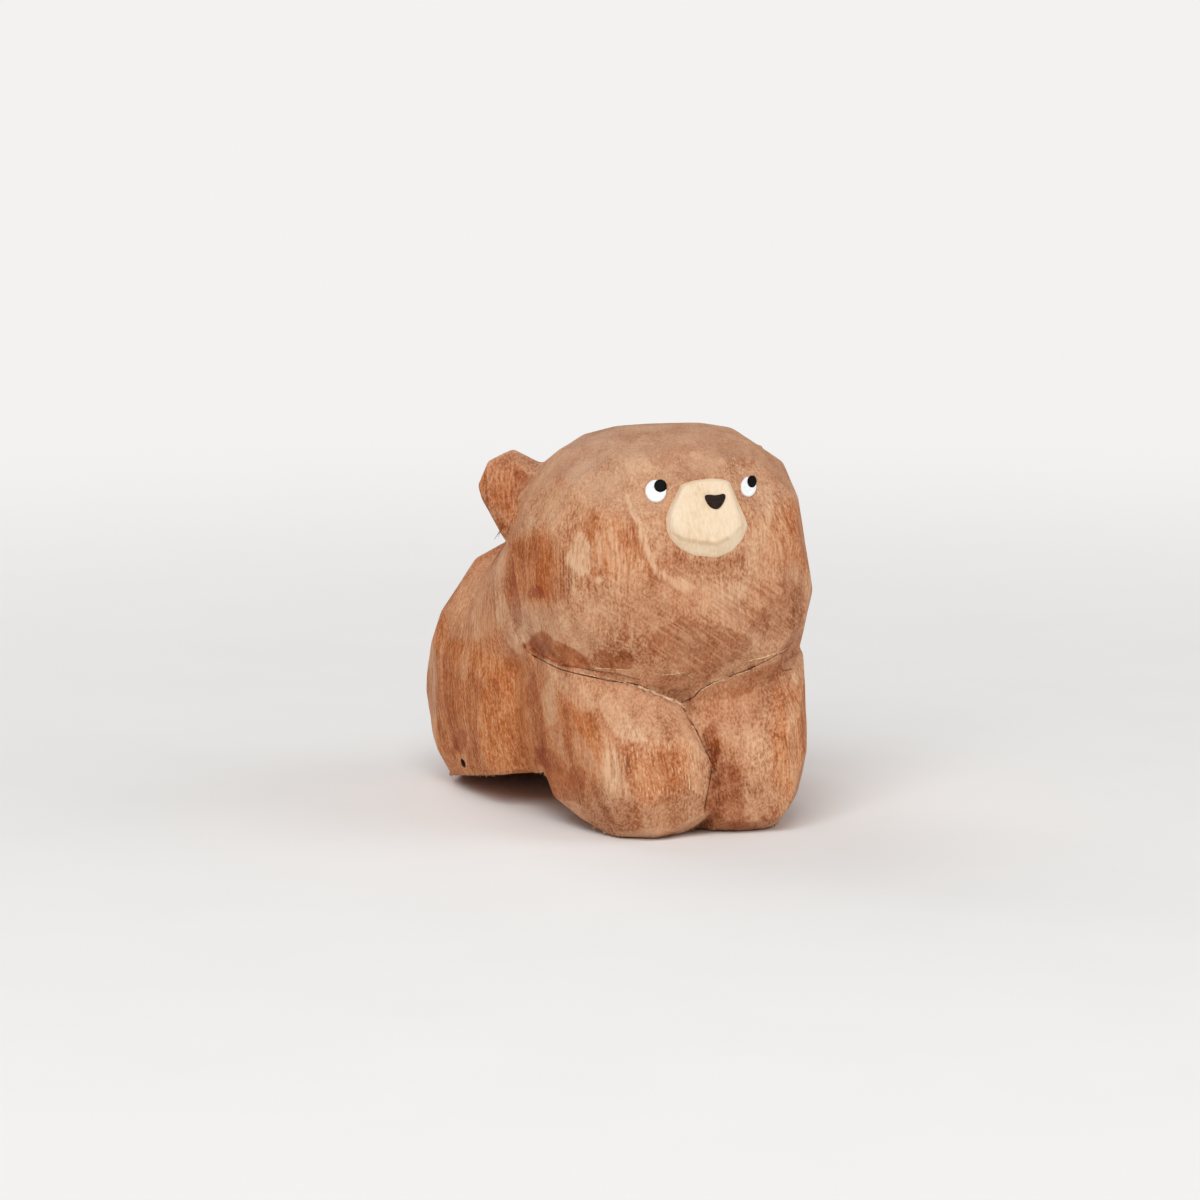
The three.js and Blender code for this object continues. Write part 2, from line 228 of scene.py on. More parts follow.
def wood_blank(node):
    """A copy of a wooden node, filled out and pared to the outline that the photograph shows of it."""
    blank = merged_copy(node)
    outline = OUTLINES.get(node, ())
    middle = sum((Vector(corner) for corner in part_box(node)), Vector()) / 2
    if node == "left_ear":
        bmesh.ops.translate(blank, verts=blank.verts, vec=LEFT_EAR_SHIFT)
    if node in FILLED_OUT:
        corners = [on_plane(pixel, middle, Vector((0, 1, 0))) for pixel in outline]
        full = hull_of([vert.co.copy() for vert in blank.verts] + corners)
        blank.free()
        blank = full
    for first, last in zip(outline, outline[1:]):
        out = sight(first).cross(sight(last)).normalized()
        pare(blank, camera.location, -out if out.dot(middle - camera.location) > 0 else out)
    blank.normal_update()
    return blank


eye_planes = {}
for hand, side in (("right", -1), ("left", 1)):
    at, out = largest_flat(hand + "_eye_white")
    rise = math.asin(abs(out.z))
    print(hand, "eye flat turned by", round(math.degrees(math.atan2(abs(out.x), abs(out.y))), 1), "degrees")
    eye_out = facing(side * EYE_TURN, rise)
    eye_planes[hand] = (at - eye_out * EYE_DEPTH, eye_out)

solid_trees = {}
blanks = bmesh.new()
for node in WOOD_NODES:
    blank = wood_blank(node)
    solid_trees[node] = BVHTree.FromBMesh(blank)
    swell(blank, GLUE_REACH)
    if node == "head":
        for at, out in eye_planes.values():
            pare(blank, at + out * GLUE_REACH, out)
    blanks.from_mesh(mesh_of(blank, "blank"))
block = bmesh.new()
block.from_mesh(fused(mesh_of(blanks, "blanks"), CARVING_GRID))
swell(block, -GLUE_REACH)
block_mesh = mesh_of(block, "block")
print("block:", len(block_mesh.vertices), "vertices")

# %% [markdown]
# ## The neck
# On the real bear the cheek runs on into the back without a step, so the hollow between the head's blank and
# the torso's blank is filled, in three bands. Each filler is the convex hull of the wood just before and just
# behind the neck, which is the smallest shape that bridges the hollow, and it is fused in like another blank.
# The left leg's top is carried up to the chin in the same way, along the crease that the photograph shows.

# %% Fill the neck
FILLER_BANDS = ((-BIG, -11 * MM, 45 * MM), (-13 * MM, 13 * MM, 41 * MM), (11 * MM, BIG, 39 * MM))
FILLER_LOW = 22 * MM
FILLER_BEFORE, FILLER_BEHIND = 7 * MM, 12 * MM
FILLER_STEP = 3
EAR_SKIN = 0.6 * MM
CREASE_LINE = ((699.5, 690.5), (706.5, 686), (716, 681.5), (725, 679), (737, 673.5), (749.5, 669), (766, 661),
               (774, 656.5), (783, 650.5))
CREASE_STEPS, CREASE_BELOW = 24, 24
CREASE_SUNK, CREASE_DEEP = 0.15 * MM, 4 * MM


def on_ear(spot):
    """Whether a spot lies on the skin of an ear."""
    return any(solid_trees[hand + "_ear"].find_nearest(spot, EAR_SKIN)[0] for hand in ("right", "left"))


def by_neck(spot, left, right, high):
    """Whether a spot is near the neck and within a band."""
    behind = (spot - neck_at).dot(neck_out)
    return (left < spot.x < right and FILLER_LOW < spot.z < high
            and -FILLER_BEFORE < behind < FILLER_BEHIND and not on_ear(spot))


def along_line(pixels, share):
    """The pixel at a share of a line of pixels."""
    reach = [0.0]
    for first, last in zip(pixels, pixels[1:]):
        reach.append(reach[-1] + math.dist(first, last))
    far = share * reach[-1]
    return [float(np.interp(far, reach, [pixel[axis] for pixel in pixels])) for axis in (0, 1)]


def tree_of_mesh(mesh):
    """A search tree over the faces of a mesh."""
    corners = [vert.co for vert in mesh.vertices]
    return BVHTree.FromPolygons(corners, [face.vertices[:] for face in mesh.polygons])


neck_at, neck_out = largest_flat("head")
fillers = []
for band in FILLER_BANDS:
    near = [vert.co.copy() for vert in list(block_mesh.vertices)[::FILLER_STEP] if by_neck(vert.co, *band)]
    fillers.append(mesh_of(hull_of(near), "filler"))
block_tree = tree_of_mesh(block_mesh)
crease_points, leg_top = [], []
for step in range(CREASE_STEPS + 1):
    column, row = along_line(CREASE_LINE, step / CREASE_STEPS)
    for below in (0, CREASE_BELOW):
        look = sight((column, row + below))
        spot = block_tree.ray_cast(camera.location, look)[0]
        leg_top += [spot + look * CREASE_SUNK, spot + look * CREASE_DEEP]
        if not below:
            crease_points.append(spot)
leg_filler = mesh_of(hull_of(leg_top), "leg_filler")
block = bmesh.new()
for mesh in (block_mesh, *fillers, leg_filler):
    block.from_mesh(mesh)
block_mesh = fused(mesh_of(block, "block"), CARVING_GRID)
print("filled block:", len(block_mesh.vertices), "vertices, fillers:",
      [len(mesh.vertices) for mesh in fillers])

# %% [markdown]
# ## Stop cuts, hollows and ridges
# A carver separates the head from the legs, and one leg from the other, with a stop cut: the knife goes
# straight in and leaves a crisp dark line. The hollows behind the ears and at the neck are cut round instead.
# Each vertex is measured for how hollow it lies among its neighbours. A hollow close to two of the front
# solids, or to the crease above the left leg, is a stop cut. Any other hollow is a round one, and a strongly
# raised vertex is a ridge between cuts.

# %% Find stop cuts, hollows and ridges
HOLLOW_LIMIT = 0.07
RIDGE_LIMIT = -0.055
STOP_CUT_REACH = 0.75 * MM
CREASE_REACH = 1.2 * MM
FRONT_NODES = ("head", "right_foreleg", "left_foreleg")


def arrays_of(mesh):
    """Places and normals of a mesh's vertices, and the vertex pairs of its edges."""
    places = np.empty(len(mesh.vertices) * 3)
    mesh.vertices.foreach_get("co", places)
    normals = np.empty(len(mesh.vertices) * 3)
    mesh.vertex_normals.foreach_get("vector", normals)
    pairs = np.empty(len(mesh.edges) * 2, dtype=int)
    mesh.edges.foreach_get("vertices", pairs)
    return places.reshape(-1, 3), normals.reshape(-1, 3), pairs.reshape(-1, 2)


def hollowness(mesh):
    """How far each vertex lies below its neighbours: above 0 in a hollow, below 0 on a ridge."""
    places, normals, pairs = arrays_of(mesh)
    steps = places[pairs[:, 1]] - places[pairs[:, 0]]
    steps /= np.linalg.norm(steps, axis=1)[:, None]
    total = np.zeros(len(places))
    count = np.zeros(len(places))
    for end, sign in ((0, 1), (1, -1)):
        np.add.at(total, pairs[:, end], sign * (steps * normals[pairs[:, end]]).sum(axis=1))
        np.add.at(count, pairs[:, end], 1)
    return total / count


def tree_of(points):
    """A search tree over a list of points."""
    tree = kdtree.KDTree(len(points))
    for number, point in enumerate(points):
        tree.insert(point, number)
    tree.balance()
    return tree


hollow = hollowness(block_mesh)
places, _, _ = arrays_of(block_mesh)
crease_tree = tree_of(crease_points)
stop_points, ear_points, neck_points = [], [], []
for number in np.flatnonzero(hollow > HOLLOW_LIMIT):
    point = Vector(places[number])
    near = [node for node, tree in solid_trees.items() if tree.find_nearest(point, STOP_CUT_REACH)[0]]
    if len(set(near) & set(FRONT_NODES)) > 1 or crease_tree.find(point)[2] < CREASE_REACH:
        stop_points.append(point)
    elif any(node.endswith("ear") for node in near):
        ear_points.append(point)
    else:
        neck_points.append(point)
ridge_points = [Vector(places[number]) for number in np.flatnonzero(hollow < RIDGE_LIMIT)]
print("stop cut:", len(stop_points), "ears:", len(ear_points), "neck:", len(neck_points),
      "ridges:", len(ridge_points))

# %% [markdown]
# ## The slanting cut between the legs
# The carver's cut between the forelegs isn't straight: it starts to the bear's right under the chin, leans
# over to the left above the paws and comes back at the floor. The block is bent sideways by that much near
# the cut, and fades back to its own shape a few millimetres away. Bending keeps the rounded lips of the cut,
# which a new cut would have to model again. The rear of the seat is widened a little in the same step.

# %% Bend the cut between the legs
SLANT_HEIGHTS = (0.0, 4.0, 7.7, 11.4, 18.0, 24.0, 31.0)
SLANT_SHIFTS = (0.0, 0.9, 1.5, 0.0, -1.6, -1.6, 0.0)
SLANT_WIDTH = 9.0
SLANT_BACK, SLANT_FADE = -6.0, 8.0
SEAT_FULLER, SEAT_HIGH, SEAT_START, SEAT_FADE, SEAT_HALF = 1.0, 28.0, 10.0, 12.0, 20.0


def slanted(point):
    """A point bent sideways with the cut between the legs, and outwards at the rear of the seat."""
    spot = Vector(point) / MM
    shift = float(np.interp(spot.z, SLANT_HEIGHTS, SLANT_SHIFTS))
    beside = max(0.0, 1 - (spot.x / SLANT_WIDTH) ** 2) ** 2
    ahead = min(1.0, max(0.0, (SLANT_BACK - spot.y) / SLANT_FADE))
    rear = min(1.0, max(0.0, (spot.y - SEAT_START) / SEAT_FADE))
    fuller = SEAT_FULLER * rear * max(0.0, 1 - spot.z / SEAT_HIGH) * spot.x / SEAT_HALF
    return Vector(point) + Vector(((shift * beside * ahead + fuller) * MM, 0, 0))


for vert in block_mesh.vertices:
    vert.co = slanted(vert.co)
block_mesh.update()
stop_points, ear_points, neck_points, ridge_points = (
    [slanted(point) for point in points] for points in (stop_points, ear_points, neck_points, ridge_points))
print("cut between the legs bent by up to", max(SLANT_SHIFTS), "mm")

# %% [markdown]
# ## Sanding
# After the knife the bear was rubbed down, so its flats meet in soft edges and only the stop cuts stay crisp.
# A Smooth modifier pulls each vertex towards its neighbours, as sandpaper does. Most of the wood gets a few
# passes and the stop cuts fewer. The hollow at the neck gets a great many, because the real head runs on into
# the back in one wide sweep of the gouge. A Bevel modifier would need clean edges, which a fused mesh doesn't
# have.

# %% Sand the block
SANDING_PASSES = 8
CUT_PASSES = 3
STOP_CLEAR = 1.0 * MM
EAR_SKIN_PASSES = 3
EAR_PASSES, EAR_REACH = 8, 0.9 * MM
NECK_PASSES, NECK_REACH = 200, 3.0 * MM
RUB_FACTOR = 0.5


def rubbed_down(mesh, chosen, passes):
    """A mesh whose chosen vertices were pulled towards their neighbours a number of times."""
    work = stand("block", mesh)
    group = work.vertex_groups.new(name="rubbed")
    group.add([int(number) for number in chosen], 1.0, "REPLACE")
    rub = work.modifiers.new("rub", "SMOOTH")
    rub.factor, rub.iterations, rub.vertex_group = RUB_FACTOR, passes, group.name
    return settled(work)


def distances(tree, spots):
    """How far each spot is from the nearest point of a search tree."""
    return np.array([tree.find(spot)[2] for spot in spots])


stop_tree = tree_of(stop_points)
spots, _, _ = arrays_of(block_mesh)
to_stop = distances(stop_tree, spots)
by_ear = (to_stop > STOP_CLEAR) & (distances(tree_of(ear_points), spots) < EAR_REACH)
hollow_near = (to_stop > STOP_CLEAR) & (distances(tree_of(neck_points), spots) < NECK_REACH)
ear_skin = np.array([on_ear(Vector(spot)) for spot in spots])
open_wood = to_stop > CARVING_GRID / 2
rubs = (
    (open_wood & ~ear_skin, SANDING_PASSES), (ear_skin, EAR_SKIN_PASSES), (by_ear, EAR_PASSES),
    (hollow_near & ~ear_skin, NECK_PASSES), (to_stop < 2 * CARVING_GRID, CUT_PASSES),
)
for chosen, passes in rubs:
    block_mesh = rubbed_down(block_mesh, np.flatnonzero(chosen), passes)
block = bmesh.new()
block.from_mesh(block_mesh)
print("vertices rubbed down:", [(int(chosen.sum()), passes) for chosen, passes in rubs])

# %% [markdown]
# ## The knife's deep lines and the uneven hand
# The stop cuts go a little deeper than the solids say, and no flat of a hand-carved figure is quite flat.
# Vertices near a stop cut are pressed in, and the whole skin gets shallow waves that only ever go inwards,
# so they don't make the bear any bigger.

# %% Deepen the stop cuts and add the uneven hand
CUT_DEPTH = 0.45 * MM
CUT_FLOOR, CUT_REACH = 0.2 * MM, 0.75 * MM
CUT_EVEN, CUT_UNEVEN, CUT_WAVE = 0.8, 0.4, 3
WAVES = ((5.0, 0.12), (1.9, 0.05))
RIPPLE_ACROSS, RIPPLE_ALONG, RIPPLE_DEPTH = 0.7, 7.0, 0.03

block.normal_update()
for vert in block.verts:
    spot = vert.co / MM
    depth = sum(0.5 * deep * (1 + noise.noise(spot / size)) for size, deep in WAVES)
    fibre = Vector((spot.x / RIPPLE_ACROSS, spot.y / RIPPLE_ACROSS, spot.z / RIPPLE_ALONG))
    depth += 0.5 * RIPPLE_DEPTH * (1 + noise.noise(fibre))
    away = stop_tree.find(vert.co)[2]
    if away < CUT_REACH:
        press = min(1.0, (CUT_REACH - away) / (CUT_REACH - CUT_FLOOR))
        depth += CUT_DEPTH / MM * press ** 2 * (CUT_EVEN + CUT_UNEVEN * noise.noise(spot / CUT_WAVE))
    vert.co -= vert.normal * depth * MM
block.normal_update()
body_tree = BVHTree.FromBMesh(block)
body_mesh = mesh_of(block, "body")
print("carved body:", len(body_mesh.polygons), "faces")

# %% [markdown]
# ## Checks, nicks and the knot hole
# The wood has a small knot hole low on the flank, a drying crack on the left leg, a nick under the cheek and
# torn lines where the belly meets the leg. These are sharp and finer than the carving grid, so each is a thin
# double-ended blade that is subtracted from the body. The blade is laid along the surface between two pixels
# of the photograph. The knife's own lines between head and legs are long wedges, made from a small triangle
# that is extruded from point to point.

# %% Cut the cracks and the knot hole
CRACKS = (
    ((800, 703), (802, 744), 0.14, 0.5), ((797, 716), (799, 733), 0.08, 0.3),
    ((782, 671), (793, 669), 0.12, 0.3), ((790, 677), (788, 687), 0.07, 0.2),
    ((436, 684), (436, 708), 0.1, 0.25), ((529, 692), (533, 716), 0.09, 0.25),
    ((534, 708), (538, 742), 0.11, 0.3), ((541, 716), (544, 760), 0.09, 0.25),
    ((526, 700), (528, 726), 0.07, 0.2), ((703, 733), (709, 752), 0.07, 0.25),
    ((705, 729), (712, 757), 0.08, 0.3), ((708, 731), (714, 759), 0.09, 0.35),
    ((711, 730), (716, 757), 0.07, 0.25), ((714, 735), (718, 756), 0.08, 0.25),
    ((717, 738), (720, 753), 0.06, 0.2), ((709, 745), (715, 767), 0.09, 0.35),
    ((713, 748), (717, 765), 0.07, 0.25),
)
KNIFE_LINES = (
    (((522.5, 648), (533, 655.5), (545, 662), (560, 669.5), (572, 672.5), (590, 676.5), (605, 680),
      (620, 682), (632, 683.5), (641, 686), (655, 692.5), (668, 698.5), (681, 703.5)), 0.26, 0.6),
    (((681, 703), (694, 697), *CREASE_LINE), 0.24, 0.6),
    (((682, 704), (687.5, 716), (697, 731), (704, 746), (712, 763), (715.5, 772)), 0.34, 0.9),
    (((712.5, 768), (711, 776), (709, 787), (706, 802), (704.5, 815)), 0.34, 0.9),
    (((558, 665), (575, 667), (596, 671), (618, 674), (640, 680)), 0.12, 0.3),
)
KNIFE_STEP = 4.0
KNIFE_LIFT = 0.4 * MM
KNIFE_END, KNIFE_TAPER = 0.15, 2
SPINE_STEPS = 4
CRACK_DEPTHS = (0.25, 0.6, 1.0)
KNOT_PIXEL = (463, 763)
KNOT_RADII = (0.7 * MM, 0.56 * MM)
KNOT_DEPTH = 1.3 * MM


def surface_at(pixel):
    """The point and normal of the carved body that a pixel shows, or just misses."""
    look = sight(pixel)
    point, normal, _, _ = body_tree.ray_cast(camera.location, look)
    if point is None:
        point, normal, _, _ = body_tree.find_nearest(camera.location + look * camera.location.length)
    return point, normal


def raised_pad(rings):
    """A closed solid through rings of matching corners: the first is a face, and the others are extruded."""
    bm = bmesh.new()
    corner = bm.verts.layers.int.new("corner")
    first = face = bm.faces.new([bm.verts.new(spot) for spot in rings[0]])
    for number, vert in enumerate(face.verts):
        vert[corner] = number
    for ring in rings[1:]:
        made = bmesh.ops.extrude_face_region(bm, geom=[face])["geom"]
        if face.is_valid and face is not first:
            bmesh.ops.delete(bm, geom=[face], context="FACES_ONLY")
        face = next(item for item in made if isinstance(item, bmesh.types.BMFace))
        for vert in face.verts:
            vert.co = ring[vert[corner]]
    bmesh.ops.recalc_face_normals(bm, faces=bm.faces)
    if bm.calc_volume(signed=True) < 0:
        bmesh.ops.reverse_faces(bm, faces=bm.faces)
    return bm


def knife_cut(pixels, width, depth):
    """A long wedge along a line of pixels, thin at both ends, and the points of its bottom, darkened with
    stain and painted shade.
    """
    count = round(sum(math.dist(*pair) for pair in zip(pixels, pixels[1:])) / KNIFE_STEP)
    spots, outs = [], []
    for number in range(count + 1):
        spot, out = surface_at(along_line(pixels, number / count))
        spots.append(spot)
        outs.append((out + (camera.location - spot).normalized()).normalized())
    rings = []
    for number, (spot, out) in enumerate(zip(spots, outs)):
        spine = spots[min(number + 1, count)] - spots[max(number - 1, 0)]
        size = min(1.0, KNIFE_END + min(number, count - number) / KNIFE_TAPER)
        side = spine.cross(out).normalized() * width / 2 * size
        above = spot + out * KNIFE_LIFT
        rings.append([above + side, above - side, spot - out * depth * size])
    spine = [spot.lerp(ahead, step / SPINE_STEPS) - out * depth * deep
             for spot, ahead, out in zip(spots, spots[1:], outs)
             for step in range(SPINE_STEPS) for deep in CRACK_DEPTHS]
    return mesh_of(raised_pad(rings), "knife_cut"), spine


def blade(start, end, outward, width, depth):
    """A slim spindle from start to end that reaches inwards by its depth."""
    bm = bmesh.new()
    bmesh.ops.create_icosphere(bm, subdivisions=1, radius=0.5)
    spine = (end - start).normalized()
    side = spine.cross(outward).normalized()
    bmesh.ops.scale(bm, verts=bm.verts, vec=(width, 2 * depth, (end - start).length))
    bmesh.ops.transform(bm, verts=bm.verts,
                        matrix=Matrix((side, side.cross(spine), spine)).transposed().to_4x4())
    bmesh.ops.translate(bm, verts=bm.verts, vec=(start + end) / 2)
    bmesh.ops.recalc_face_normals(bm, faces=bm.faces)
    return mesh_of(bm, "blade")


def cut(mesh, tool, operation):
    """Works one closed mesh on another: DIFFERENCE takes the tool away, INTERSECT keeps what is in it."""
    work, knife = stand("work", mesh.copy()), stand("knife", tool)
    boolean = work.modifiers.new("cut", "BOOLEAN")
    boolean.solver = "MANIFOLD"
    boolean.operation = operation
    boolean.object = knife
    result = settled(work)
    bpy.data.objects.remove(knife)
    return result


crack_points = []
for pixels, width, depth in KNIFE_LINES:
    wedge, spine = knife_cut(pixels, width * MM, depth * MM)
    body_mesh = cut(body_mesh, wedge, "DIFFERENCE")
    crack_points += spine
    print("knife line, body:", len(body_mesh.polygons), "faces")
blades = bmesh.new()
for first, last, width, depth in CRACKS:
    (start, outward), (end, _) = surface_at(first), surface_at(last)
    blades.from_mesh(blade(start, end, outward, width * MM, depth * MM))
    steps = max(2, round((end - start).length / CARVING_GRID))
    crack_points += [start.lerp(end, step / steps) - outward * depth * MM * deep
                     for step in range(1, steps) for deep in CRACK_DEPTHS]
body_mesh = cut(body_mesh, mesh_of(blades, "blades"), "DIFFERENCE")
knot_at, knot_out = surface_at(KNOT_PIXEL)
across = knot_out.cross(Vector((0, 0, 1))).normalized()
knot_turn = Matrix((across, knot_out.cross(across), knot_out)).transposed()
knot = bmesh.new()
bmesh.ops.create_icosphere(knot, subdivisions=3, radius=1)
bmesh.ops.scale(knot, verts=knot.verts, vec=(*KNOT_RADII, KNOT_DEPTH))
bmesh.ops.transform(knot, verts=knot.verts, matrix=knot_turn.to_4x4())
bmesh.ops.translate(knot, verts=knot.verts, vec=knot_at)
body_mesh = cut(body_mesh, mesh_of(knot, "knot"), "DIFFERENCE")
print("cracks:", len(CRACKS), "body:", len(body_mesh.polygons), "faces")

# %% [markdown]
# ## Back to separate pieces
# The assembly needs its own torso, head, legs and ears, so the carved body is cut apart where the CAD solids
# part. Everything behind the head's flat back is the torso. In front of it, what lies inside the hull of the
# head and the neck's fillers is the head, and what is left falls into two ears and the legs, which a bent
# plane parts. Closed half spaces as cutters keep every piece closed, which a knife-like bisect wouldn't.

# %% Cut the body into its six wooden pieces
HEAD_MARGIN = 0.15 * MM
NECK_MARGIN = 1.2 * MM
FILLER_MARGIN = 0.4 * MM
NECK_ZONE = 3 * MM
LEG_CUTS = 99


def half_space(point, normal):
    """A big closed box that fills the side of a plane to which the normal points."""
    bm = bmesh.new()
    bmesh.ops.create_cube(bm, size=BIG)
    bmesh.ops.translate(bm, verts=bm.verts, vec=(0, 0, BIG / 2))
    bmesh.ops.rotate(bm, verts=bm.verts, cent=(0, 0, 0),
                     matrix=Vector((0, 0, 1)).rotation_difference(normal).to_matrix())
    bmesh.ops.translate(bm, verts=bm.verts, vec=point)
    return mesh_of(bm, "half_space")


def bent_half_space(point, normal):
    """A half space whose face is bent with the cut between the legs."""
    bm = bmesh.new()
    bm.from_mesh(half_space(point, normal))
    bmesh.ops.subdivide_edges(bm, edges=bm.edges[:], cuts=LEG_CUTS, use_grid_fill=True)
    for vert in bm.verts:
        vert.co = slanted(vert.co)
    return mesh_of(bm, "bent_half_space")


def head_cutter():
    """The convex hull of the head and the neck's fillers, carried on past the neck to cut cleanly."""
    solid = wood_blank("head")
    swell(solid, HEAD_MARGIN)
    points = []
    for vert in solid.verts:
        points.append(vert.co.copy())
        before = (vert.co - neck_at).dot(neck_out)
        if before > -NECK_ZONE:
            out = (vert.co - neck_at - neck_out * before).normalized()
            points.append(vert.co + neck_out * (NECK_ZONE - before) + out * NECK_MARGIN)
    solid.free()
    for filler in fillers:
        for vert in filler.vertices:
            points.append(vert.co + Vector((math.copysign(FILLER_MARGIN, vert.co.x), 0, 0)))
    return mesh_of(hull_of(points), "head_cutter")


def loose_parts(mesh):
    """Splits a mesh into its loose parts, largest first, without faces that lie back to back."""
    bm = bmesh.new()
    bm.from_mesh(mesh)
    twins = {}
    for face in bm.faces:
        twins.setdefault(frozenset(face.verts), []).append(face)
    fins = [face for faces in twins.values() if len(faces) > 1 for face in faces]
    bmesh.ops.delete(bm, geom=fins, context="FACES")
    left, parts = set(bm.verts), []
    while left:
        part = front = {left.pop()}
        while front:
            front = {edge.other_vert(vert) for vert in front for edge in vert.link_edges} & left
            left -= front
            part = part | front
        parts.append(part)
    meshes = []
    for part in sorted(parts, key=len, reverse=True):
        copy = bmesh.new()
        twin = {vert: copy.verts.new(vert.co) for vert in sorted(part, key=lambda vert: vert.index)}
        for face in sorted({face for vert in part for face in vert.link_faces}, key=lambda face: face.index):
            copy.faces.new([twin[vert] for vert in face.verts])
        meshes.append(mesh_of(copy, "part"))
    bm.free()
    return meshes


neck_plane = neck_at + neck_out * HEAD_MARGIN
carved = {"torso": cut(body_mesh, half_space(neck_plane, neck_out), "INTERSECT")}
front = cut(body_mesh, half_space(neck_plane, neck_out), "DIFFERENCE")
carved["head"] = cut(front, head_cutter(), "INTERSECT")
parts = loose_parts(cut(front, head_cutter(), "DIFFERENCE"))
print("parts before the neck, vertices:", [len(part.vertices) for part in parts])
legs, ears = parts[0], parts[1:3]
between = Vector(((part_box("right_foreleg")[1][0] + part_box("left_foreleg")[0][0]) / 2, 0, 0))
carved["right_foreleg"] = cut(legs, bent_half_space(between, Vector((-1, 0, 0))), "INTERSECT")
carved["left_foreleg"] = cut(legs, bent_half_space(between, Vector((1, 0, 0))), "INTERSECT")
ears.sort(key=lambda mesh: mesh.vertices[0].co.x)
carved["right_ear"], carved["left_ear"] = ears
for node in carved:
    parts = loose_parts(carved[node])
    carved[node] = parts[0]
    print(node, len(parts[0].polygons), "faces, crumbs:", [len(part.vertices) for part in parts[1:]])

# %% [markdown]
# ## Dowel holes
# Each glued joint hides a round dowel. The dowels are plain turned rods, so the CAD nodes themselves stay,
# and the carved pieces only need their holes again: a slightly swollen copy of each dowel is subtracted from
# the two pieces that it joins.

# %% Bore the dowel holes
DOWEL_CLEARANCE = 0.15 * MM
DOWELS = {
    "neck_dowel": ("torso", "head"),
    "right_foreleg_dowel": ("torso", "right_foreleg"),
    "left_foreleg_dowel": ("torso", "left_foreleg"),
    "right_ear_dowel": ("head", "right_ear"),
    "left_ear_dowel": ("head", "left_ear"),
}
for dowel, joined in DOWELS.items():
    for node in joined:
        rod = merged_copy(dowel)
        swell(rod, DOWEL_CLEARANCE)
        carved[node] = cut(carved[node], mesh_of(rod, "rod"), "DIFFERENCE")
    print(dowel, "bored in", joined)
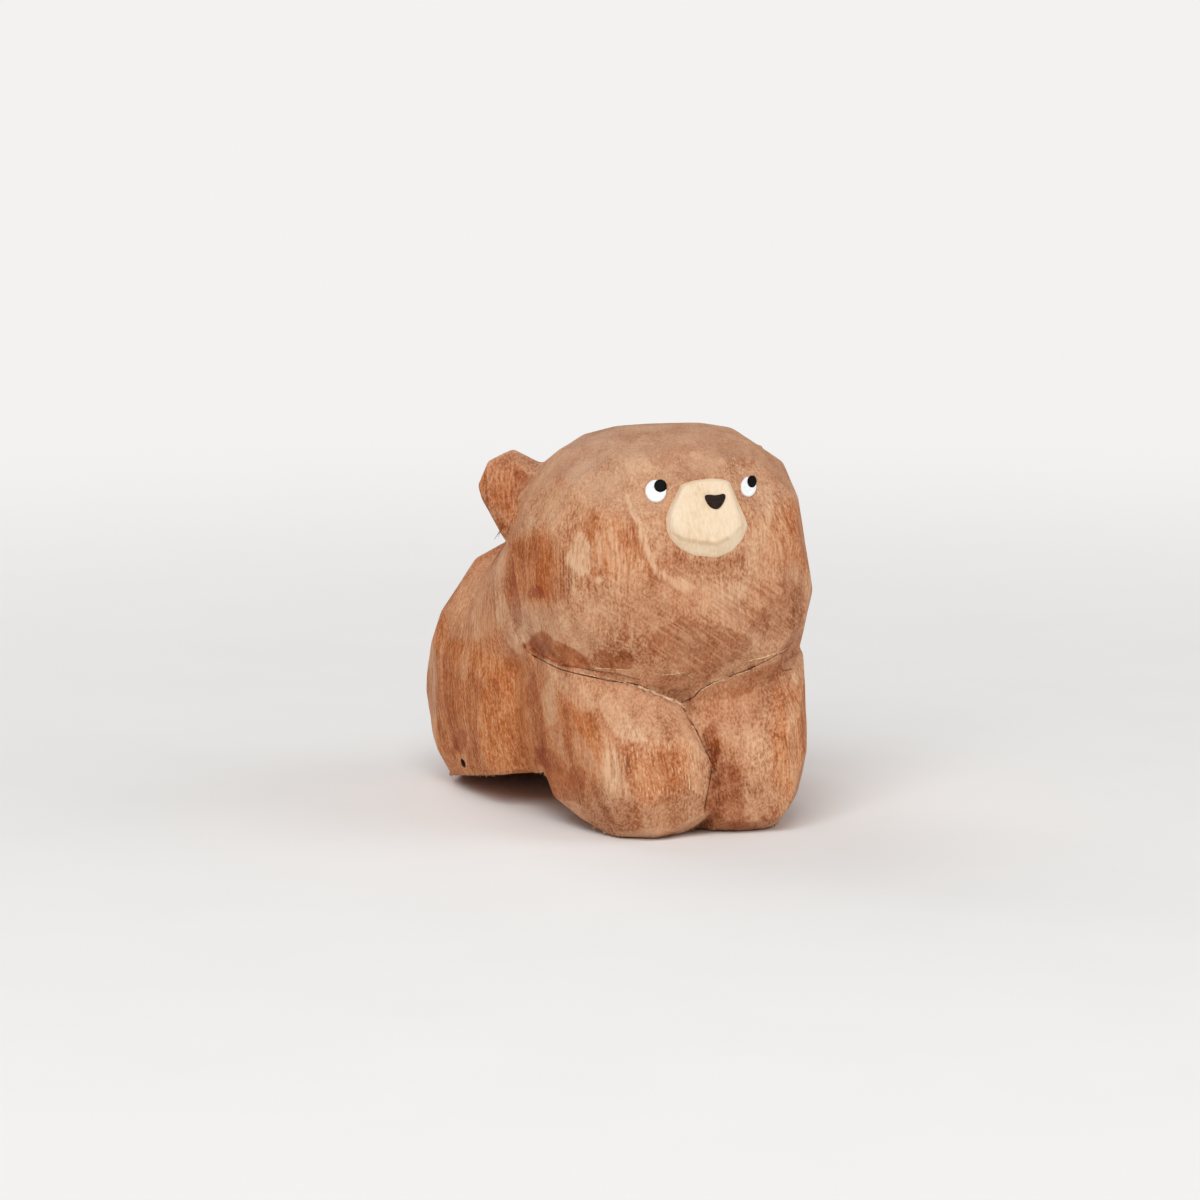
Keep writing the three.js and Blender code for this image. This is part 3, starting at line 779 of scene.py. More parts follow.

# %% [markdown]
# ## Where the stain took, where it was rubbed off, and painted shade
# Stain sinks deep into torn and end grain and stays pale on hard, smooth cuts, so the bear is blotchy, nearly
# black in the stop cuts and rubbed pale on its ridges. The dark in the stop cuts and cracks is soaked-in
# stain and painted shade together, and the knot hole is dark knot wood and painted shade. These marks are
# kept on the mesh as attributes that the material reads, because noise alone wouldn't put a blotch where the
# real one is. The larger blotches are outlines in pixels of the photograph, each with a tone from dark to
# pale and the width of its edge in pixels. A few dark outlines are painted shade: under the muzzle, on the
# left leg's top under the chin, and along the neck. Each flat of the solids also gets a tone of its own,
# which carries the look to the unseen sides.

# %% Choose the stain patches
STAIN_AND_SHADE_OUTLINES = (
    (-0.86, 1.6, ((522, 646), (530, 639), (535, 633), (542, 630.5), (548, 634), (554, 640), (567, 645.5),
        (575, 649.5), (584, 655), (588, 660), (590, 668), (570, 668), (560, 665), (545, 658),
        (530, 652))),
    (-0.62, 1.6, ((591, 660), (596, 652), (603, 649.5), (608, 652), (612, 655), (615, 660), (618, 652.5),
        (624, 650), (630, 652), (633, 658), (632, 669), (614, 669), (602, 667.5), (591, 665))),
    (-0.6, 1.6, ((526, 594), (530, 589), (535, 586), (540, 586.5), (543.5, 591), (545, 598), (539, 599),
        (528, 597))),
    (-0.3, 2.0, ((549, 582), (554, 578), (560, 577), (563, 582), (566, 591), (564, 600), (557, 603),
        (545, 596))),
    (-0.22, 14.0, ((512, 545), (530, 538), (545, 540), (552, 560), (556, 580), (546, 596), (524, 602),
        (512, 590))),
    (-0.32, 4.0, ((583, 522), (590, 511), (596, 508), (599, 512), (596, 522), (594, 537), (590, 540),
        (584, 532))),
    (-0.3, 3.0, ((622, 505), (626, 503), (634, 525), (642, 545), (650, 565), (657, 578), (650, 575),
        (634, 548))),
    (-0.28, 4.0, ((616, 532), (626, 528), (634, 538), (634, 548), (624, 548), (617, 543))),
    (-0.42, 2.2, ((648, 646), (653, 634), (660, 627), (673, 623), (682, 617), (697, 614), (708, 615),
        (717, 623), (734, 632), (752, 638), (752, 645), (740, 657), (722, 669), (706, 679), (688, 679),
        (664, 662))),
    (-0.22, 6.0, ((740, 600), (765, 590), (789, 575), (802, 588), (808, 598), (802, 615), (785, 640),
        (755, 640))),
    # painted shadow under the muzzle
    (-0.28, 5.0, ((674, 552), (690, 559), (706, 562), (722, 561), (737, 553), (748, 540), (752, 548),
        (744, 562), (728, 572), (706, 576), (688, 572), (670, 560))),
    # painted shade on the left leg's top, under the chin
    (-0.38, 2.2, ((684, 703), (702, 688), (727, 679), (760, 669), (792, 655), (800, 650), (790, 673),
        (771, 677), (762, 681), (751, 692), (734, 699), (700, 701))),
    (-0.22, 3.0, ((690, 706), (722, 703), (724, 722), (721, 745), (714, 760), (704, 735))),
    (-0.6, 3.5, ((704, 728), (713, 722), (719, 736), (720.5, 752), (716, 770), (712, 766), (707, 752),
        (702, 738))),
    (-0.42, 2.5, ((711, 775), (722, 762), (741, 766), (745, 800), (747, 826), (735, 831), (705, 829),
        (704, 812))),
    (-0.4, 2.2, ((535, 748), (550, 748), (560, 756), (569, 768), (562, 775), (548, 770), (535, 762))),
    (-0.3, 5.0, ((600, 806), (620, 800), (637, 806), (642, 822), (640, 834), (620, 830), (605, 818))),
    (-0.38, 2.0, ((513, 468), (522, 471), (529, 476), (536, 476), (533, 482), (525, 487), (517, 481))),
    (-0.6, 3.5, ((456, 733), (462, 728), (467, 733), (466, 745), (462, 756), (455, 750), (453, 742))),
    (-0.25, 5.0, ((438, 655), (450, 650), (453, 680), (455, 722), (447, 726), (438, 700))),
    # two bands of painted shade along the neck
    (-0.2, 6.0, ((496, 578), (507, 576), (510, 610), (509, 646), (500, 648), (496, 610))),
    (-0.22, 7.0, ((505, 560), (515, 558), (520, 600), (522, 640), (515, 640), (508, 600))),
    (-0.4, 3.0, ((525, 690), (534, 668), (540, 700), (546, 735), (546, 765), (536, 765), (530, 730))),
    (-0.24, 5.0, ((640, 445), (690, 440), (700, 452), (686, 470), (650, 462))),
    (-0.25, 4.0, ((715, 445), (735, 440), (760, 455), (752, 468), (725, 465))),
    (1.0, 5.0, ((566, 558), (570, 549), (575, 540), (578, 532), (583, 531), (587, 540), (591, 547),
        (590, 558), (593, 564), (590, 571), (584, 576), (576, 574), (568, 566))),
    (0.55, 2.5, ((596, 534), (600, 530), (602, 550), (601, 570), (597, 571), (596, 555))),
    (0.35, 7.0, ((604, 530), (616, 528), (620, 545), (630, 560), (626, 578), (608, 568), (604, 550))),
    (0.85, 2.5, ((625, 493), (630, 497), (635, 512), (644, 526), (648, 546), (655, 562), (663, 577),
        (656, 576), (648, 560), (643, 548), (638, 528), (628, 508))),
    (0.3, 6.0, ((632, 500), (645, 508), (660, 512), (658, 535), (648, 540), (640, 522))),
    (0.85, 3.5, ((660, 573), (665, 570), (670, 578), (682, 578), (696, 586), (691, 591), (679, 590),
        (668, 583))),
    (0.35, 6.0, ((700, 590), (722, 578), (745, 588), (740, 600), (715, 600))),
    (0.3, 8.0, ((586, 606), (600, 600), (612, 606), (606, 616), (592, 614))),
    (0.22, 5.0, ((752, 742), (760, 738), (768, 745), (766, 760), (760, 768), (752, 764))),
    (0.32, 5.0, ((786, 705), (798, 700), (802, 750), (796, 790), (788, 770))),
    (0.55, 4.0, ((598, 700), (608, 692), (615, 700), (622, 712), (632, 718), (640, 730), (648, 741),
        (636, 742), (622, 738), (610, 728), (603, 716))),
    (0.42, 7.0, ((552, 671), (575, 678), (590, 690), (598, 706), (590, 714), (570, 704), (558, 688))),
    (0.45, 3.5, ((604, 752), (612, 746), (618, 752), (622, 775), (618, 792), (608, 788), (604, 772))),
    (0.3, 6.0, ((640, 808), (655, 806), (672, 802), (688, 806), (690, 818), (682, 832), (665, 838),
        (645, 837))),
    (0.4, 3.0, ((512, 457), (520, 456), (528, 465), (534, 474), (526, 472), (517, 466))),
    (0.35, 3.0, ((429, 640), (436, 640), (438, 690), (436, 740), (429, 740))),
    (0.75, 2.5, ((690, 452), (699, 450), (699, 459), (692, 460))),
    (0.55, 3.0, ((714, 459), (724, 456), (726, 464), (718, 466))),
    (0.45, 4.0, ((764, 486), (770, 484), (774, 505), (772, 525), (766, 522))),
    (0.3, 8.0, ((620, 455), (645, 452), (650, 470), (635, 480), (618, 474))),
    (0.36, 14.0, ((470, 570), (500, 545), (512, 560), (505, 620), (480, 640), (450, 640), (445, 610),
        (458, 588))),
    (0.3, 10.0, ((762, 500), (785, 500), (792, 540), (785, 560), (765, 556))),
    (-0.28, 10.0, ((728, 690), (770, 682), (772, 710), (750, 722), (730, 715))),
    (-0.25, 6.0, ((650, 752), (680, 750), (684, 782), (660, 790), (648, 775))),
    (-0.1, 3.0, ((713, 776), (740, 768), (744, 800), (746, 824), (708, 826))),
    (-0.22, 10.0, ((745, 585), (800, 580), (806, 610), (780, 640), (745, 625))),
    (-0.28, 10.0, ((482, 462), (512, 450), (538, 466), (530, 484), (510, 515), (482, 490))),
    (0.22, 10.0, ((572, 735), (605, 730), (608, 770), (590, 780), (570, 765))),
    (0.28, 7.0, ((672, 453), (712, 450), (716, 466), (690, 474), (670, 468))),
    (0.14, 10.0, ((745, 730), (770, 730), (775, 775), (752, 785))),
    (0.18, 10.0, ((600, 475), (640, 478), (700, 452), (720, 470), (640, 505), (600, 505))),
)
SPOTS = (((516, 639), 0.7, 0.8), ((600, 580), 0.5, 0.95), ((602, 583), 0.3, -0.9), ((795, 678), 0.7, 0.8),
         ((524, 646), 0.6, -0.5), ((763, 818), 0.35, -0.9), ((765, 820), 0.3, -0.8), ((749, 818), 0.3, -0.8))
WARM_OUTLINES = (
    (1.0, 26.0, ((500, 540), (545, 528), (562, 560), (560, 595), (535, 606), (505, 600))),
    (0.5, 14.0, ((476, 460), (512, 446), (522, 475), (515, 520), (498, 540), (472, 490))),
    (0.8, 26.0, ((530, 640), (556, 690), (592, 712), (610, 748), (598, 795), (560, 795), (520, 785),
        (515, 660))),
    (0.6, 24.0, ((600, 505), (640, 530), (652, 570), (592, 578), (578, 530))),
    (0.7, 20.0, ((775, 690), (808, 680), (810, 750), (795, 800), (770, 780))),
    (0.6, 22.0, ((620, 740), (690, 745), (700, 790), (650, 800), (625, 780))),
    (0.6, 20.0, ((765, 500), (800, 510), (808, 570), (770, 560))),
)
GRAIN_OUTLINES = (
    (1.0, 28.0, ((505, 535), (600, 500), (650, 520), (655, 575), (600, 590), (540, 605), (508, 600))),
    (1.0, 14.0, ((474, 458), (512, 446), (524, 475), (515, 520), (498, 540), (470, 490))),
    (0.9, 22.0, ((760, 480), (800, 505), (808, 565), (765, 560))),
    (0.9, 24.0, ((600, 745), (700, 745), (700, 795), (630, 800), (600, 780))),
    (0.8, 22.0, ((775, 690), (806, 680), (808, 750), (795, 800), (745, 800), (748, 740))),
)
RASP_OUTLINES = (
    (1.0, 6.0, ((648, 646), (653, 634), (673, 623), (697, 614), (740, 590), (800, 580), (808, 600),
        (800, 630), (752, 660), (706, 679), (688, 679), (664, 662))),
    (0.6, 14.0, ((590, 580), (650, 570), (760, 560), (800, 580), (700, 612), (650, 632), (600, 645))),
)
TORN_OUTLINES = (
    (1.0, 10.0, ((602, 745), (640, 738), (693, 745), (696, 790), (650, 800), (610, 795))),
    (0.7, 10.0, ((745, 735), (775, 735), (775, 790), (748, 790))),
    (0.6, 12.0, ((560, 520), (640, 505), (650, 570), (600, 575), (565, 575))),
    (0.9, 14.0, ((605, 470), (640, 455), (760, 455), (790, 500), (785, 540), (640, 510), (610, 500))),
)
FACET_SPREADS = {"torso": 0.06, "head": 0.12}
FACET_SPREAD = 0.14
FACET_SEED = 11
FACET_CLEAR, FACET_LIFT = 0.6 * MM, 0.02 * MM


def outer_facets():
    """A search tree over the solids' outer triangles, and a tone for each triangle's flat."""
    corners, triangles, tones, tone_of = [], [], [], {}
    draw = random.Random(FACET_SEED)
    walls = {**solid_trees, "head": tree_of_mesh(frame["nodes"]["head"].data)}
    for node in WOOD_NODES:
        solid = merged_copy(node)
        bmesh.ops.triangulate(solid, faces=solid.faces[:])
        for face in solid.faces:
            centre = face.calc_center_median() + face.normal * FACET_LIFT
            if any(tree.ray_cast(centre, face.normal, FACET_CLEAR)[0] for tree in walls.values()):
                continue
            flat = (node, *(round(value, 2) for value in face.normal))
            tone_of.setdefault(flat, draw.gauss(0, FACET_SPREADS.get(node, FACET_SPREAD)))
            triangles.append([len(corners) + step for step in range(3)])
            corners += [vert.co.copy() for vert in face.verts]
            tones.append(tone_of[flat])
        solid.free()
    print("outer triangles:", len(triangles), "flats:", len(tone_of))
    return BVHTree.FromPolygons(corners, triangles), tones


facet_tree, facet_tones = outer_facets()
ridge_tree = tree_of(ridge_points)
crack_tree = tree_of(crack_points)
spot_points = [(np.array(surface_at(pixel)[0]), radius * MM, tone) for pixel, radius, tone in SPOTS]

# %% Read an outline on the carved surface
FACING_FADE = 0.12
SIGHT_LIFT = 0.4 * MM


def eased(share):
    """A share that is held between 0 and 1 and eased at both ends."""
    share = np.clip(share, 0, 1)
    return share * share * (3 - 2 * share)


def pixels_of(spots):
    """The pixel of the photograph at which each spot lies."""
    local = (spots - np.array(camera.location)) @ np.array(camera.rotation_euler.to_matrix())
    flat = local[:, :2] / -local[:, 2:] * FOCUS_PIXELS
    return PHOTO_PIXELS / 2 + flat * np.array((1, -1))


def in_sight(spots, normals):
    """How openly each spot faces the camera: 1 in full view, 0 where it is turned away or hidden."""
    toward = np.array(camera.location) - spots
    toward /= np.linalg.norm(toward, axis=1)[:, None]
    open_share = eased((toward * normals).sum(axis=1) / FACING_FADE)
    for number in np.flatnonzero(open_share):
        start = Vector(spots[number]) + Vector(normals[number]) * SIGHT_LIFT
        if body_tree.ray_cast(start, Vector(toward[number]))[0]:
            open_share[number] = 0
    return open_share


def inside_depth(pixels, corners):
    """How many pixels each place lies inside an outline; below 0 outside it."""
    away = np.full(len(pixels), np.inf)
    inside = np.zeros(len(pixels), dtype=bool)
    for start, end in zip(corners, corners[1:] + corners[:1]):
        start, along = np.array(start, dtype=float), np.array(end, dtype=float) - start
        share = np.clip((pixels - start) @ along / (along @ along), 0, 1)
        away = np.minimum(away, np.linalg.norm(pixels - start - share[:, None] * along, axis=1))
        rows = pixels[:, 1] - start[1]
        crosses = (rows < 0) != (rows < along[1])
        inside ^= crosses & (pixels[:, 0] - start[0] < rows * along[0] / (along[1] or 1))
    return np.where(inside, away, -away)


def outline_tone(pixels, outlines):
    """Adds up the outlines that each pixel lies in, each with its tone and the width of its edge."""
    return sum(tone * eased(0.5 + inside_depth(pixels, corners) / edge) for tone, edge, corners in outlines)


print("outlines:", len(STAIN_AND_SHADE_OUTLINES))

# %% Write the marks onto the carved pieces
# Along stop cuts and cracks the wood is darkened: soaked-in stain and painted shade together.
GROOVE_REACH = 0.45 * MM
CRACK_REACH = 0.2 * MM
RIDGE_REACH = 0.5 * MM
KNOT_RIM, KNOT_EDGE, KNOT_BELOW = 1.25, 4, 1.5
SPOT_RIM = 1.5
GROOVE_SHARE = 0.6
FLANK_START, FLANK_FADE = -5 * MM, 9 * MM
EDGE_WOBBLE, EDGE_WOBBLE_SIZE = 0.16, 1.0


def spot_tone(spots, patches):
    """Adds up the small round spots."""
    return sum(tone * eased(SPOT_RIM - np.linalg.norm(spots - centre, axis=1) / radius)
               for centre, radius, tone in patches)


# The knot mark darkens the hole: dark knot wood and painted shade inside it.
def knot_share(spots):
    """1 in the knot hole, fading out at its rim."""
    radii = np.array((*KNOT_RADII, KNOT_BELOW * KNOT_DEPTH))
    local = (spots - np.array(knot_at)) @ np.array(knot_turn) / radii
    return eased((KNOT_RIM - np.linalg.norm(local, axis=1)) * KNOT_EDGE)


def put_mark(mesh, name, values):
    """Keeps one value for each vertex on a mesh."""
    mark = mesh.attributes.new(name, "FLOAT", "POINT")
    mark.data.foreach_set("value", np.asarray(np.clip(values, -1, 1), dtype=np.float32))


def mark_wood(mesh):
    """Writes the marks of stain, knife and rasp onto a carved piece; some of the dark marks are painted
    shade.
    """
    spots, normals, _ = arrays_of(mesh)
    shift = np.array([noise.noise_vector(Vector(spot) / MM / EDGE_WOBBLE_SIZE) for spot in spots])
    wobbly = spots + shift * EDGE_WOBBLE * MM
    facets = np.array([facet_tones[facet_tree.find_nearest(spot)[2]] for spot in wobbly])
    sight_share, pixels = in_sight(spots, normals), pixels_of(wobbly)
    flank = eased(((spots - np.array(neck_plane)) @ np.array(neck_out) - FLANK_START) / FLANK_FADE)
    groove = eased(1 - distances(stop_tree, spots) / GROOVE_REACH)
    crack = eased(1 - distances(crack_tree, spots) / CRACK_REACH)
    # The stain outlines include a few of painted shade, so the stain mark holds stain and painted shade.
    stains_and_shade = sight_share * outline_tone(pixels, STAIN_AND_SHADE_OUTLINES)
    put_mark(mesh, "stain", facets + stains_and_shade + spot_tone(wobbly, spot_points))
    put_mark(mesh, "flank", flank + sight_share * outline_tone(pixels, WARM_OUTLINES))
    put_mark(mesh, "grain", flank + sight_share * outline_tone(pixels, GRAIN_OUTLINES))
    put_mark(mesh, "groove", GROOVE_SHARE * groove + crack)
    put_mark(mesh, "knot", knot_share(spots))
    put_mark(mesh, "worn", eased(1 - distances(ridge_tree, spots) / RIDGE_REACH))
    put_mark(mesh, "rasp", sight_share * outline_tone(pixels, RASP_OUTLINES))
    put_mark(mesh, "torn", sight_share * outline_tone(pixels, TORN_OUTLINES))


for node, mesh in carved.items():
    mark_wood(mesh)
    print(node, "marked,", len(mesh.vertices), "vertices")

# %% [markdown]
# ## Node helpers
# Materials are built from many small nodes. A few helpers that add a node, set its values and link its
# sockets keep the recipes below short enough to read.

# %% Helpers for materials


def colour(red, green, blue):
    """A colour as read off a screen, 0 to 255, turned into the linear values that shaders use."""
    parts = [value / 255 for value in (red, green, blue)]
    return (*((part / 12.92 if part <= 0.04045 else ((part + 0.055) / 1.055) ** 2.4) for part in parts), 1)


def feed(tree, value, socket):
    """Links a socket to an input, or sets the input to a plain value."""
    if isinstance(value, bpy.types.NodeSocket):
        tree.links.new(value, socket)
    else:
        socket.default_value = value


def add(tree, kind, settings=None, **inputs):
    """Adds a shader node with its settings and inputs."""
    made = tree.nodes.new("ShaderNode" + kind)
    for key, value in (settings or {}).items():
        setattr(made, key, value)
    for key, value in inputs.items():
        feed(tree, value, made.inputs[key.replace("_", " ")])
    return made


def maths(tree, operation, *values, kind="Math"):
    """One Math or Vector Math node; gives its first output."""
    made = add(tree, kind, {"operation": operation})
    for value, socket in zip(values, made.inputs):
        feed(tree, value, socket)
    return made.outputs[0]


def blended(tree, share, first, second, blend="MIX"):
    """Mixes two colours by a share."""
    made = add(tree, "Mix", {"data_type": "RGBA", "blend_type": blend})
    for value, number in ((share, 0), (first, 6), (second, 7)):
        feed(tree, value, made.inputs[number])
    return made.outputs[2]


def spread(tree, value, low, high, start=0.0, end=1.0):
    """Stretches the part of a value between low and high over start to end, with eased ends."""
    made = add(tree, "MapRange", {"interpolation_type": "SMOOTHSTEP"}, Value=value,
               From_Min=low, From_Max=high, To_Min=start, To_Max=end)
    return made.outputs[0]


def ramp(tree, value, stops):
    """A colour ramp from (place, colour) stops."""
    made = add(tree, "ValToRGB", Fac=value)
    elements = made.color_ramp.elements
    while len(elements) < len(stops):
        elements.new(1)
    for element, (place, tint) in zip(elements, stops):
        element.position, element.color = place, tint
    return made.outputs[0]


def speckle(tree, place, stretch, detail=2.0, rough=0.5, offset=(0, 0, 0)):
    """Noise on a place in millimetres, with its own stretch along each axis."""
    moved = maths(tree, "MULTIPLY_ADD", place, stretch, offset, kind="VectorMath")
    made = add(tree, "TexNoise", Vector=moved, Scale=1.0, Detail=detail, Roughness=rough)
    return made.outputs["Fac"]


def new_group(name, inputs, outputs):
    """An empty node group with named sockets; gives the tree, its input node and its output node."""
    tree = bpy.data.node_groups.new(name, "ShaderNodeTree")
    for socket, kind in inputs.items():
        tree.interface.new_socket(socket, in_out="INPUT", socket_type=kind)
    for socket in outputs:
        tree.interface.new_socket(socket, in_out="OUTPUT", socket_type="NodeSocketFloat")
    return tree, tree.nodes.new("NodeGroupInput").outputs, tree.nodes.new("NodeGroupOutput").inputs


def placed(tree, group, **inputs):
    """Places a node group in a material."""
    made = tree.nodes.new("ShaderNodeGroup")
    made.node_tree = group
    for key, value in inputs.items():
        feed(tree, value, made.inputs[key])
    return made.outputs


def new_material(name):
    """A material with its node tree and its Principled shader."""
    material = bpy.data.materials.new(name)
    material.use_nodes = True
    tree = material.node_tree
    return material, tree, tree.nodes["Principled BSDF"].inputs


def coat(tree, shader, base, height, bump, rough, gloss):
    """Feeds the shader with a colour, a bump of some strength and depth, a roughness and a gloss."""
    strength, depth = bump
    bumped = add(tree, "Bump", Strength=strength, Distance=depth, Height=height).outputs[0]
    feed(tree, base, shader["Base Color"])
    feed(tree, bumped, shader["Normal"])
    feed(tree, rough, shader["Roughness"])
    shader["Specular IOR Level"].default_value = gloss


print("node helpers ready")

# %% [markdown]
# ## Wood fibre, shared by every wood
# Wood is a bundle of fibres that run one way, upright in this bear. Cut along the fibres it shows long thin
# streaks, short dark pores and pale flecks, and cut across it shows dots. Noise that is stretched along one
# axis of the object gives both at once. The stained wood, the pale muzzle and the dowels all use it, so it
# is one node group.

# %% Wood fibre group
LEAN = math.radians(7.09)
PER_MM = 1000

fibre_tree, fibre_in, fibre_out = new_group(
    "wood_fibre", {"Place": "NodeSocketVector"}, ("Streak", "Band", "Pore", "Fleck", "Fuzz"))
drift = add(fibre_tree, "TexNoise", Vector=fibre_in["Place"], Scale=0.09, Detail=1.0).outputs["Color"]
drift = maths(fibre_tree, "SUBTRACT", drift, (0.5, 0.5, 0.5), kind="VectorMath")
wavy = maths(fibre_tree, "MULTIPLY_ADD", drift, (2.4, 2.4, 0), fibre_in["Place"], kind="VectorMath")
streak = speckle(fibre_tree, wavy, (2.9, 2.9, 0.12), detail=4.0, rough=0.6)
band = speckle(fibre_tree, wavy, (0.55, 0.55, 0.035), detail=2.0, offset=(3, 8, 1))
pore = speckle(fibre_tree, wavy, (3.6, 3.6, 0.55), detail=1.0, offset=(11, 4, 7))
fleck = speckle(fibre_tree, wavy, (3.0, 3.0, 0.9), detail=1.0, offset=(5, 19, 3))
fuzz = speckle(fibre_tree, wavy, (3.2, 3.2, 2.0), detail=3.0, rough=0.7, offset=(1, 2, 23))
FIBRES = (
    ("Streak", streak, 0.32, 0.68), ("Band", band, 0.3, 0.7), ("Pore", pore, 0.58, 0.72),
    ("Fleck", fleck, 0.58, 0.72), ("Fuzz", fuzz, 0.32, 0.68),
)
for name, value, low, high in FIBRES:
    feed(fibre_tree, spread(fibre_tree, value, low, high), fibre_out[name])


def fibre_place(tree, turn=(LEAN, 0, 0)):
    """The place on a piece in millimetres, turned so that the fibres run along z."""
    origin = add(tree, "TexCoord").outputs["Object"]
    made = add(tree, "Mapping", Vector=origin, Rotation=turn, Scale=(PER_MM, PER_MM, PER_MM))
    return made.outputs[0]


print("fibre group:", len(fibre_tree.nodes), "nodes")

# %% [markdown]
# ## Stain blotches
# A thin stain dries in clouds with a few clear edges, where one knife cut met the next. Soft noise gives the
# clouds, and warped cells, each with its own tone, give the edges.

# %% Stain blotch group
blotch_tree, blotch_in, blotch_out = new_group(
    "stain_blotch", {"Place": "NodeSocketVector"}, ("Cloud", "Cell", "Warmth"))
cloud = speckle(blotch_tree, blotch_in["Place"], (0.24, 0.24, 0.15), detail=4.0, rough=0.58, offset=(4, 9, 2))
warmth = speckle(blotch_tree, blotch_in["Place"], (0.11, 0.11, 0.09), detail=2.0, offset=(7, 1, 5))
warp = add(blotch_tree, "TexNoise", Vector=blotch_in["Place"], Scale=0.45, Detail=3.0).outputs["Color"]
warp = maths(blotch_tree, "SUBTRACT", warp, (0.5, 0.5, 0.5), kind="VectorMath")
warped = maths(blotch_tree, "MULTIPLY_ADD", warp, (3.2, 3.2, 3.2), blotch_in["Place"], kind="VectorMath")
cells = add(blotch_tree, "TexVoronoi", {"feature": "SMOOTH_F1"}, Scale=1.0, Smoothness=0.12,
            Vector=maths(blotch_tree, "MULTIPLY", warped, (0.24, 0.24, 0.16), kind="VectorMath"))
cell = add(blotch_tree, "SeparateColor", Color=cells.outputs["Color"]).outputs[0]
BLOTCHES = (("Cloud", cloud, 0.3, 0.7), ("Cell", cell, 0.0, 1.0), ("Warmth", warmth, 0.32, 0.68))
for name, value, low, high in BLOTCHES:
    feed(blotch_tree, spread(blotch_tree, value, low, high), blotch_out[name])
print("blotch group:", len(blotch_tree.nodes), "nodes")

# %% [markdown]
# ## The stained wood
# One tone from dark to pale is added up from fibre and blotches, and a colour ramp turns it into the browns
# of the real stain. On the flank the ramp is more orange, and darker than the head's partly as painted shade.
# The stain marks on the mesh lie over it like a thin glaze: dark ones tint it, a few of them as painted
# shade, and pale ones thin it out in streaks. Pores darken it, and the grooves darken it with stain and
# painted shade.
# Flecks and worn ridges lighten it, and wood that faces up, as on the crown, is greyed by a painted sheen.
# The same fibres raise the surface slightly, and the tone changes the gloss.

# %% Stained wood
TONE_MIDDLE = 0.5
TONE_SHARES = {"Band": 0.14, "Fuzz": 0.34, "Cloud": 0.24, "Cell": 0.10}
STREAK_SHARE, STREAK_GRAIN = 0.06, 0.22
# Dark tint of the stain marks, some of which are painted shade.
STAIN_AND_SHADE_TINT = (0.48, 0.16, 0.0, 1)
PALE_WOOD = colour(227, 186, 150)
WARM_BROWN, WARM_SHARE = colour(196, 116, 66), 0.2
FLECK_PALE, FLECK_SHARE, FLECK_TORN = colour(232, 196, 160), 0.2, 0.34
PORE_BROWN, PORE_SHARE, PORE_GRAIN = colour(134, 76, 44), 0.2, 0.2
RASP_TURN = math.radians(56)
RASP_DARK, RASP_DARK_SHARE = colour(146, 92, 62), 0.28
RASP_PALE, RASP_PALE_SHARE = colour(222, 172, 134), 0.34
WORN_PALE, WORN_SHARE = colour(226, 184, 148), 0.35
# Wood that faces up is greyed as a painted sheen, the way light from above greys the crown; less on the
# flank.
PAINTED_SHEEN_GREY, PAINTED_SHEEN_SHARE, PAINTED_SHEEN_FLANK = colour(190, 150, 124), 0.5, 0.8
# Dark brown of the stop cuts and cracks: soaked-in stain and painted shade.
GROOVE_STAIN_AND_SHADE, KNOT_DARK_AND_SHADE = colour(100, 46, 24), colour(52, 22, 10)
HEAD_STOPS = (
    (0.0, colour(106, 52, 24)), (0.28, colour(158, 95, 58)), (0.5, colour(198, 145, 109)),
    (0.72, colour(217, 171, 134)), (1.0, colour(237, 207, 174)),
)
# Where the flank mark is high the ramp is more orange, and darker than the head's partly as painted shade of
# the side.
FLANK_STOPS_WITH_SHADE = (
    (0.0, colour(100, 42, 12)), (0.28, colour(158, 81, 33)), (0.5, colour(196, 115, 60)),
    (0.72, colour(212, 149, 102)), (1.0, colour(230, 188, 146)),
)


def mark(tree, name):
    """The value of a mark that was written onto the mesh."""
    return add(tree, "Attribute", {"attribute_name": name}).outputs["Fac"]


def share_sum(tree, start, shares):
    """Adds values by their shares; each counts as 0 at its middle, 0.5."""
    total = start
    for value, share in shares:
        total = maths(tree, "MULTIPLY_ADD", maths(tree, "SUBTRACT", value, 0.5), share, total)
    return total


stained_wood, tree, shader = new_material("stained_wood")
place = fibre_place(tree)
fibre = placed(tree, fibre_tree, Place=place)
blotch = placed(tree, blotch_tree, Place=place)
found = {"Band": fibre["Band"], "Fuzz": fibre["Fuzz"], "Cloud": blotch["Cloud"], "Cell": blotch["Cell"]}
tone = share_sum(tree, TONE_MIDDLE, [(found[key], share) for key, share in TONE_SHARES.items()])
streak_share = maths(tree, "MULTIPLY_ADD", mark(tree, "grain"), STREAK_GRAIN, STREAK_SHARE)
tone = share_sum(tree, tone, [(fibre["Streak"], streak_share)])
# The flank's ramp is a more orange stain and partly painted shade.
base = blended(tree, mark(tree, "flank"), ramp(tree, tone, HEAD_STOPS), ramp(tree, tone, FLANK_STOPS_WITH_SHADE))
# The stain mark: real stain, and painted shade from a few outlines.
stain = mark(tree, "stain")
pale_share = maths(tree, "MULTIPLY", maths(tree, "MAXIMUM", stain, 0.0),
                   spread(tree, fibre["Streak"], 0.1, 0.9, 0.6, 1.45))
base = blended(tree, pale_share, base, PALE_WOOD)
dark_share = maths(tree, "MAXIMUM", maths(tree, "MULTIPLY", stain, -1.0), 0.0)
base = blended(tree, dark_share, base, STAIN_AND_SHADE_TINT, "MULTIPLY")
warmed = blended(tree, maths(tree, "MULTIPLY", blotch["Warmth"], WARM_SHARE), base, WARM_BROWN)

